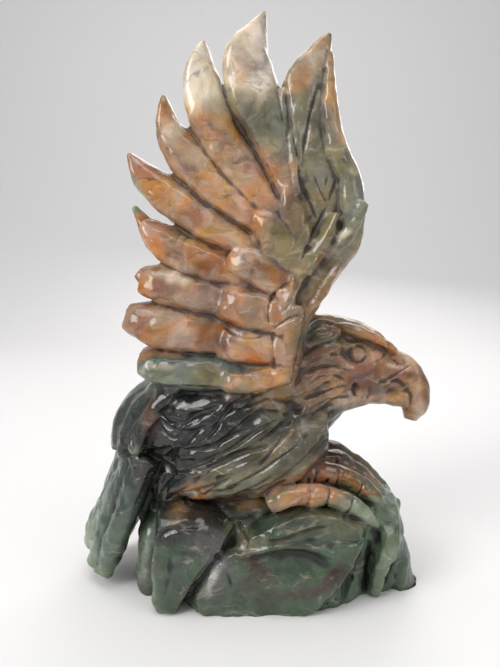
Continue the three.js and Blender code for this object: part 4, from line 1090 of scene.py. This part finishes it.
STONE = {
    "ochre": srgb(160, 121, 86),
    "burnt orange": srgb(156, 98, 56),
    "rust": srgb(98, 56, 38),
    "mauve": srgb(140, 111, 98),
    "peach": srgb(182, 145, 112),
    "cream": srgb(206, 192, 172),
    "grey green": srgb(112, 116, 98),
    "olive": srgb(108, 102, 76),
    "teal": srgb(78, 94, 86),
    "deep green": srgb(46, 60, 50),
    "rock green": srgb(60, 78, 60),
    "pale green": srgb(112, 128, 108),
    "black green": srgb(28, 31, 29),
    "purple grey": srgb(84, 82, 84),
    "white": srgb(208, 206, 198),
    "brown": srgb(64, 46, 38),
}
# Zones of colour in the side view: (colour, [x, z] middle, [half length, half height] in pattern
# millimetres, tilt in degrees, softness of the edge, strength). Later ones lie over earlier ones.
ZONES = [
    ("rock green", [4, 10], [90, 26], 0, 0.25, 1.0),
    # wing
    ("ochre", [-6, 124], [62, 48], 50, 0.1, 1.0),
    ("peach", [-20, 128], [28, 2.4], -30, 0.7, 0.6),
    ("peach", [-14, 142], [24, 2.4], -46, 0.7, 0.6),
    ("burnt orange", [-26, 130], [12, 2.4], -34, 0.6, 0.45),
    ("mauve", [-36, 143], [5, 4], -30, 0.6, 0.7),
    ("burnt orange", [-18, 113], [14, 3], -18, 0.6, 0.45),
    ("mauve", [-28, 104], [14, 3], -8, 0.6, 0.7),
    ("cream", [-26, 108], [9, 1.6], -8, 0.7, 0.55),
    ("burnt orange", [-38, 93], [5, 4], 0, 0.6, 0.5),
    ("mauve", [-22, 90], [14, 2.6], 4, 0.6, 0.55),
    ("burnt orange", [1, 152], [13, 3], -58, 0.6, 0.5),
    ("burnt orange", [3, 128], [7, 5], 40, 0.6, 0.45),
    # painted shade: darker rust down the roots of the flight feathers, where the coverts shade them
    ("rust", [-14, 101], [4.5, 17], -6, 0.6, 0.55),
    ("ochre", [0, 111], [8, 6], -20, 0.5, 0.7),
    ("mauve", [-2, 114], [5, 3], -20, 0.6, 0.7),
    ("rust", [5, 109], [6, 2.4], -30, 0.6, 0.6),
    ("ochre", [-4, 99], [10, 6], 0, 0.5, 0.8),
    ("mauve", [1, 100], [5, 4], 0, 0.6, 0.8),
    ("burnt orange", [-10, 99], [3, 4], 0, 0.6, 0.6),
    ("ochre", [-4, 87], [9, 5], 0, 0.5, 0.8),
    ("peach", [-7, 92.4], [6, 1.6], 0, 0.6, 0.6),
    ("brown", [-4, 94], [9, 1.4], 4, 0.6, 0.6),
    ("ochre", [7, 90], [6, 17], 6, 0.5, 0.85),
    ("burnt orange", [0, 84.4], [8, 2.6], 0, 0.6, 0.8),
    ("burnt orange", [8, 92], [2, 12], -6, 0.6, 0.4),
    ("burnt orange", [-37, 106], [6, 4], 0, 0.6, 0.7),
    ("rust", [-39, 95], [4, 5], 0, 0.6, 0.45),
    ("burnt orange", [-34, 124], [5, 4], -30, 0.6, 0.6),
    # painted shade at the feather roots beside the coverts
    ("rust", [-15, 90], [4, 4], 0, 0.6, 0.5),
    ("olive", [8, 120], [7, 10], 20, 0.5, 0.85),
    ("brown", [12, 135], [4, 9], -20, 0.6, 0.8),
    ("olive", [25, 128], [12, 24], -16, 0.35, 0.9),
    ("grey green", [30, 132], [6, 17], 0, 0.6, 0.75),
    ("cream", [28, 122], [2.6, 1.8], 30, 0.6, 0.9),
    ("rust", [20, 111], [8, 2.6], 56, 0.6, 0.6),
    ("olive", [15, 104], [4, 8], -16, 0.6, 0.5),
    ("grey green", [17, 158], [12, 22], 8, 0.35, 0.82),
    ("olive", [20, 146], [8, 10], 10, 0.6, 0.6),
    ("peach", [26.6, 160], [2.4, 15], 8, 0.5, 0.9),
    ("peach", [16, 174], [8, 3.4], 40, 0.5, 0.75),
    ("cream", [20, 178], [5, 2], 40, 0.6, 0.6),
    ("peach", [22, 181], [4, 3], 0, 0.6, 0.8),
    ("grey green", [3, 159], [9, 11], 22, 0.5, 0.75),
    ("teal", [-1, 155], [3.4, 9], 32, 0.6, 0.6),
    ("grey green", [-11, 163], [5, 9], 28, 0.6, 0.75),
    ("cream", [-2, 178], [9, 15], 0, 0.4, 0.95),
    ("peach", [-6, 171], [3, 4], 0, 0.6, 0.6),
    ("cream", [-16.4, 171], [6, 13], 0, 0.5, 0.9),
    ("cream", [-26, 156], [5, 6], 40, 0.5, 0.8),
    ("peach", [-29, 161], [4, 7], 20, 0.6, 0.8),
    ("teal", [-26, 79.2], [28, 7.8], 0, 0.12, 1.0),
    ("grey green", [-30, 80], [12, 4], 0, 0.6, 0.6),
    ("brown", [-12, 80], [8, 2.4], 0, 0.6, 0.6),
    ("cream", [-30, 83.6], [9, 1], 0, 0.7, 0.5),
    ("ochre", [-2, 76.6], [11, 5.4], 4, 0.25, 0.8),
    ("peach", [-9, 79], [3, 1.6], 0, 0.6, 0.6),
    ("olive", [-6, 75.6], [6, 2.4], 0, 0.6, 0.7),
    ("olive", [-15, 79], [5, 5], 0, 0.6, 0.95),
    ("olive", [2, 74], [8, 2], 8, 0.6, 0.6),
    ("pale green", [-41, 131], [4.6, 7], 0, 0.3, 1.0),
    ("pale green", [-43, 112], [3, 5], 0, 0.3, 0.8),
    # flank and rump
    ("black green", [-16, 53], [46, 21], 0, 0.14, 1.0),
    ("olive", [0, 48], [26, 12], 40, 0.5, 0.55),
    ("grey green", [-2, 47], [20, 4], 34, 0.6, 0.5),
    ("grey green", [-8, 42], [16, 3.4], 34, 0.6, 0.6),
    ("black green", [7, 66], [9, 5], 10, 0.5, 1.0),
    ("deep green", [-44, 60], [9, 16], -30, 0.5, 0.7),
    ("rust", [-34, 62], [3, 7], 10, 0.7, 0.5),
    ("ochre", [-6, 33], [20, 2.6], 8, 0.6, 0.8),
    ("ochre", [-22, 38], [8, 5], 30, 0.6, 0.8),
    ("burnt orange", [-20, 34], [4, 2.4], 0, 0.6, 0.7),
    # painted highlight: a small white glint on the knee
    ("white", [-23, 38.6], [2, 1.2], 30, 0.6, 0.8),
    ("ochre", [8, 56], [12, 2], 38, 0.7, 0.3),
    # tail
    ("black green", [-42, 42], [7, 12], -30, 0.4, 0.9),
    ("teal", [-52, 26], [9, 16], -28, 0.5, 0.9),
    ("deep green", [-49, 33], [5, 12], -28, 0.5, 0.7),
    ("pale green", [-60, 10], [8, 9], 0, 0.6, 0.75),
    ("pale green", [-56, 22], [1.6, 14], -28, 0.7, 0.6),
    ("pale green", [-38.6, 48.4], [3, 1.2], 20, 0.7, 0.5),
    # head and neck
    ("ochre", [40, 77], [29, 17], -8, 0.16, 1.0),
    ("olive", [24, 90], [11, 8], -24, 0.5, 0.8),
    ("deep green", [20, 86], [7, 4], -10, 0.6, 0.7),
    ("burnt orange", [41, 88], [8, 3], -34, 0.5, 0.6),
    ("rust", [35, 73], [9, 5], 10, 0.6, 0.95),
    ("rust", [22, 80], [9, 2], 0, 0.6, 0.6),
    ("black green", [16, 78], [7, 2.2], 20, 0.6, 0.3),
    ("ochre", [19, 73], [10, 4.4], 14, 0.5, 0.85),
    ("ochre", [24, 91], [7, 4], -24, 0.6, 0.5),
    ("burnt orange", [22, 74], [14, 2], 14, 0.6, 0.7),
    ("olive", [12, 70], [12, 3.4], 20, 0.6, 0.7),
    ("cream", [28, 66], [7, 2], 14, 0.7, 0.6),
    ("peach", [52, 76], [10, 7], -20, 0.5, 0.85),
    ("rust", [50, 74], [7, 1.8], -12, 0.6, 0.8),
    ("rust", [61, 68], [2.6, 9], 12, 0.6, 0.7),
    ("ochre", [54, 63], [3, 5], 0, 0.6, 0.8),
    ("ochre", [56, 58], [6, 7], 0, 0.4, 1.0),
    ("cream", [57, 60], [1.8, 4], 0, 0.6, 0.6),
    ("brown", [46, 72.4], [4, 1.6], -20, 0.6, 0.6),
    ("brown", [42, 68], [6, 3], -6, 0.6, 0.75),
    # toes and rock
    ("olive", [24, 38], [26, 8], -10, 0.4, 0.9),
    ("burnt orange", [20, 41], [16, 2], -4, 0.6, 0.7),
    ("burnt orange", [30, 42], [12, 2], -24, 0.6, 0.6),
    ("brown", [28, 45], [10, 4], -20, 0.5, 0.7),
    ("grey green", [33, 33], [9, 3.6], -20, 0.5, 0.9),
    ("pale green", [36, 34], [6, 3], -20, 0.6, 0.8),
    ("ochre", [16, 36], [9, 3.4], 4, 0.5, 0.75),
    ("burnt orange", [24, 37.6], [7, 2], -8, 0.6, 0.6),
    ("black green", [-18, 29], [20, 5], 0, 0.5, 0.95),
    ("purple grey", [-16, 23], [7, 4], -20, 0.6, 0.6),
    ("purple grey", [-11, 17], [4, 9], 10, 0.5, 0.8),
    ("white", [-11, 13], [1.2, 3], -20, 0.7, 0.55),
    ("olive", [-2, 23], [5, 4], 0, 0.6, 0.7),
    ("olive", [14, 26], [14, 1.4], 4, 0.6, 0.6),
    ("brown", [1, 17], [4.4, 2.6], -50, 0.6, 0.8),
    ("brown", [18, 13.4], [15, 1.8], 10, 0.6, 0.85),
    ("brown", [-2, 14], [3, 6], -8, 0.7, 0.5),
    ("purple grey", [-38, 14], [4, 10], 0, 0.5, 0.8),
    ("pale green", [-39, 14], [3, 8], 0, 0.5, 0.7),
    ("pale green", [-30, 8], [4, 12], 0, 0.7, 0.3),
    ("pale green", [44, 18], [6, 14], -10, 0.6, 0.8),
    ("pale green", [44, 27], [5, 5], 0, 0.6, 0.85),
]


VEIN_SEED = 97  # fixes the bends of the colour zones


# Bends of the zones in pattern millimetres: (strength, size of the features, seed).
BENDS = [(7.0, 26, 1), (2.6, 9, 2), (1.1, 3.5, 3)]


def drift(points, size, seed):
    """A smooth vector noise at each point, of about unit strength and features of one size."""
    shift = Vector((seed * 17.3, seed * -9.1, seed * 4.7))
    return np.array([noise.noise_vector(Vector(p) / size + shift) for p in points])


def stone_and_painted_light_colours(points):
    """The jasper's colour at pattern points: the zones, with their edges bent as in real stone, among
    them painted shade at the feather roots and a painted highlight on the knee.
    """
    noise.seed_set(VEIN_SEED)
    bent = points
    for strength, size, seed in BENDS:
        bent = bent + strength * drift(points, size, seed)
    colours = np.tile(np.array(STONE["rock green"]), (len(points), 1))
    for name, (x, z), (long, tall), tilt, soft, strength in ZONES:
        c, s = math.cos(math.radians(tilt)), math.sin(math.radians(tilt))
        dx, dz = bent[:, 0] - x, bent[:, 2] - z
        reach = np.hypot((dx * c + dz * s) / long, (dz * c - dx * s) / tall)
        share = strength * smooth_step((1 + soft - reach) / (2 * soft))
        colours += (np.array(STONE[name]) - colours) * share[:, None]
    return colours


class Nodes:
    """Short names for building a node tree."""

    def __init__(self, tree):
        self.tree = tree
        tree.nodes.clear()

    def add(self, kind, links=None, **settings):
        node = self.tree.nodes.new("ShaderNode" + kind)
        values = settings.pop("values", {})
        for key, value in settings.items():
            setattr(node, key, value)
        for key, value in values.items():
            node.inputs[key].default_value = value
        for key, source in (links or {}).items():
            self.tree.links.new(source, node.inputs[key])
        return node

    def feed(self, node, sources):
        """Links each numbered input to its socket, or sets it to its plain value."""
        for key, source in sources.items():
            if isinstance(source, bpy.types.NodeSocket):
                self.tree.links.new(source, node.inputs[key])
            else:
                node.inputs[key].default_value = source

    def mix(self, factor, a, b, blend="MIX"):
        node = self.add("Mix", data_type="RGBA", blend_type=blend, clamp_factor=True)
        self.feed(node, {0: factor, 6: a, 7: b})
        return node.outputs[2]

    def math(self, operation, a, b):
        node = self.add("Math", operation=operation)
        self.feed(node, {0: a, 1: b})
        return node.outputs[0]

    def ramp(self, value, low, high, to_low=0.0, to_high=1.0):
        """Eases a value, from to_low where it is low to to_high where it is high."""
        node = self.add("MapRange", interpolation_type="SMOOTHSTEP", clamp=True)
        self.feed(node, {0: value, 1: low, 2: high, 3: to_low, 4: to_high})
        return node.outputs[0]

    def noise(self, vector, scale, detail=3.0, rough=0.55, warp=0.0):
        values = {"Scale": scale, "Detail": detail, "Roughness": rough, "Distortion": warp}
        return self.add("TexNoise", {"Vector": vector}, values=values)


def jasper():
    material = bpy.data.materials.new("jasper")
    material.use_nodes = True
    n = Nodes(material.node_tree)
    place = n.add("TexCoord").outputs["Object"]

    def warped(source, scale, amount):
        noise = n.noise(source, scale, 2.0).outputs["Color"]
        centred = n.add("VectorMath", {0: noise}, operation="SUBTRACT")
        centred.inputs[1].default_value = (0.5, 0.5, 0.5)
        sized = n.add("VectorMath", {0: centred.outputs[0]}, operation="SCALE")
        sized.inputs["Scale"].default_value = amount
        return n.add("VectorMath", {0: source, 1: sized.outputs[0]}, operation="ADD").outputs[0]

    flow = warped(warped(place, 42, 0.018), 150, 0.005)
    color = n.add("Attribute", attribute_name="stone").outputs["Color"]

    # Mottling: cloudy light and dark, rusty and pale flecks, and fine dark seams.
    drifting = n.noise(flow, 130, 3.0, 0.55, 0.4)
    varied = n.add("HueSaturation", {"Color": color})
    split = n.add("SeparateColor", {0: drifting.outputs["Color"]})
    n.tree.links.new(n.ramp(split.outputs[0], 0.3, 0.7, 0.487, 0.512), varied.inputs["Hue"])
    n.tree.links.new(n.ramp(split.outputs[1], 0.3, 0.7, 0.72, 1.22), varied.inputs["Saturation"])
    n.tree.links.new(n.ramp(split.outputs[2], 0.32, 0.68, 0.72, 1.26), varied.inputs["Value"])
    color = varied.outputs[0]
    cloud = n.noise(flow, 95, 6.0, 0.62).outputs["Fac"]
    color = n.mix(n.ramp(cloud, 0.46, 0.3, 0.0, 0.45), color, STONE["brown"], "MULTIPLY")
    color = n.mix(n.ramp(cloud, 0.52, 0.72, 0.0, 0.5), color, STONE["cream"], "SOFT_LIGHT")
    streak_map = n.add("Mapping", {"Vector": flow}, vector_type="POINT")
    streak_map.inputs["Rotation"].default_value = (0.2, math.radians(38), 0.1)
    streak_map.inputs["Scale"].default_value = (0.3, 1, 1.5)
    streak = n.noise(streak_map.outputs[0], 240, 5.0, 0.62, 0.8).outputs["Fac"]
    color = n.mix(n.ramp(streak, 0.56, 0.74, 0.0, 0.3), color, STONE["cream"])
    color = n.mix(n.ramp(streak, 0.44, 0.28, 0.0, 0.55), color, STONE["brown"])
    grain = n.noise(place, 1400, 3.0, 0.65).outputs["Fac"]
    color = n.mix(n.ramp(grain, 0.6, 0.75, 0.0, 0.2), color, STONE["cream"])
    color = n.mix(n.ramp(grain, 0.42, 0.28, 0.0, 0.3), color, STONE["brown"])
    seam = n.add(
        "TexVoronoi",
        {"Vector": warped(flow, 90, 0.012)},
        feature="DISTANCE_TO_EDGE",
        values={"Scale": 34.0},
    )
    near_seam = n.ramp(seam.outputs["Distance"], 0.02, 0.0)
    veined = n.math("MULTIPLY", near_seam, n.ramp(cloud, 0.5, 0.62, 0.0, 0.4))
    color = n.mix(veined, color, STONE["brown"])

    # Painted shade darkens the grooves and a painted highlight lightens the ridges; the grooves are also
    # duller.
    hollow = n.add("Attribute", attribute_name="hollow").outputs["Fac"]
    painted_groove_shade = n.mix(1.0, color, srgb(92, 76, 66), "MULTIPLY")
    color = n.mix(n.ramp(hollow, 0.12, 0.8, 0.0, 0.85), color, painted_groove_shade)
    color = n.mix(n.ramp(hollow, -0.22, -0.7, 0.0, 0.35), color, STONE["cream"], "SOFT_LIGHT")

    shade = n.add("BsdfPrincipled", {"Base Color": color})
    n.tree.links.new(n.ramp(hollow, -0.1, 0.5, 0.17, 0.5), shade.inputs["Roughness"])
    shade.inputs["IOR"].default_value = 1.54
    shade.inputs["Specular IOR Level"].default_value = 0.5
    fine_bumps = n.math("MULTIPLY", n.noise(place, 900, 3.0).outputs["Fac"], 0.35)
    bump_height = n.math("ADD", fine_bumps, n.math("MULTIPLY", streak, 0.5))
    bump = n.add("Bump", {"Height": bump_height}, values={"Strength": 0.12, "Distance": 0.0006})
    n.tree.links.new(bump.outputs[0], shade.inputs["Normal"])
    out = n.add("OutputMaterial")
    n.tree.links.new(shade.outputs[0], out.inputs["Surface"])
    return material


# floor, light and camera
def plain(name, colour, roughness):
    material = bpy.data.materials.new(name)
    material.use_nodes = True
    shade = material.node_tree.nodes["Principled BSDF"]
    shade.inputs["Base Color"].default_value = colour
    shade.inputs["Roughness"].default_value = roughness
    return material


def stage():
    """A pale sheet that lies flat as far as the bend and rises behind it, in metres."""
    rows, half, bend, radius = 24, 3.0, 0.7, 0.8
    profile = [(-2.0, 0.0), (bend, 0.0)]
    for a in np.linspace(0.05, math.pi / 2, rows):
        profile.append((bend + radius * math.sin(a), radius - radius * math.cos(a)))
    profile.append((bend + radius, 3.0))
    points = [(x, y, z) for y, z in profile for x in (-half, half)]
    faces = [(2 * i, 2 * i + 1, 2 * i + 3, 2 * i + 2) for i in range(len(profile) - 1)]
    mesh = bpy.data.meshes.new("floor")
    mesh.from_pydata(points, [], faces)
    floor = bpy.data.objects.new("floor", mesh)
    bpy.context.collection.objects.link(floor)
    for poly in mesh.polygons:
        poly.use_smooth = True
    mesh.materials.append(plain("pale floor", srgb(226, 224, 222), 0.55))


def area_light(name, place, size, power, aim=(0, 0, 0.09)):
    data = bpy.data.lights.new(name, "AREA")
    data.shape = "RECTANGLE"
    data.size, data.size_y = size
    data.energy = power
    light = bpy.data.objects.new(name, data)
    bpy.context.collection.objects.link(light)
    light.location = place
    light.rotation_euler = (Vector(aim) - Vector(place)).to_track_quat("-Z", "Y").to_euler()


SENSOR = 36.0  # millimetres, for the photo's longer side


def camera():
    data = bpy.data.cameras.new("camera")
    data.sensor_width = SENSOR
    data.lens = SENSOR * LENS_PIXELS / PHOTO_SIZE[1]
    data.clip_start = 0.005
    eye = bpy.data.objects.new("camera", data)
    bpy.context.collection.objects.link(eye)
    eye.location = placed(CAMERA_PATTERN)
    eye.rotation_euler = (math.radians(90 - CAMERA_DOWN), 0, 0)
    bpy.context.scene.camera = eye


eagle = carving()
eagle.data.materials.clear()
eagle.data.materials.append(jasper())
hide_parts("eagle_carving")
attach(eagle, "root")

stage()
camera()
area_light("window", (-0.75, -0.6, 0.7), (0.5, 0.7), 8.5)
area_light("ceiling", (0.0, -0.1, 1.1), (0.9, 0.6), 5)
area_light("right fill", (0.9, -0.5, 0.4), (0.5, 0.5), 1.6)
area_light("back fill", (0.2, 0.9, 0.6), (0.8, 0.6), 3)
area_light("backdrop light", (0.0, 0.35, 1.3), (1.6, 0.4), 3, aim=(0.0, 1.4, 0.5))
world = bpy.data.worlds.new("room")
bpy.context.scene.world = world
world.use_nodes = True
world.node_tree.nodes["Background"].inputs[0].default_value = (0.93, 0.95, 1.0, 1)
world.node_tree.nodes["Background"].inputs[1].default_value = 0.5
bpy.context.scene.view_settings.view_transform = "Standard"
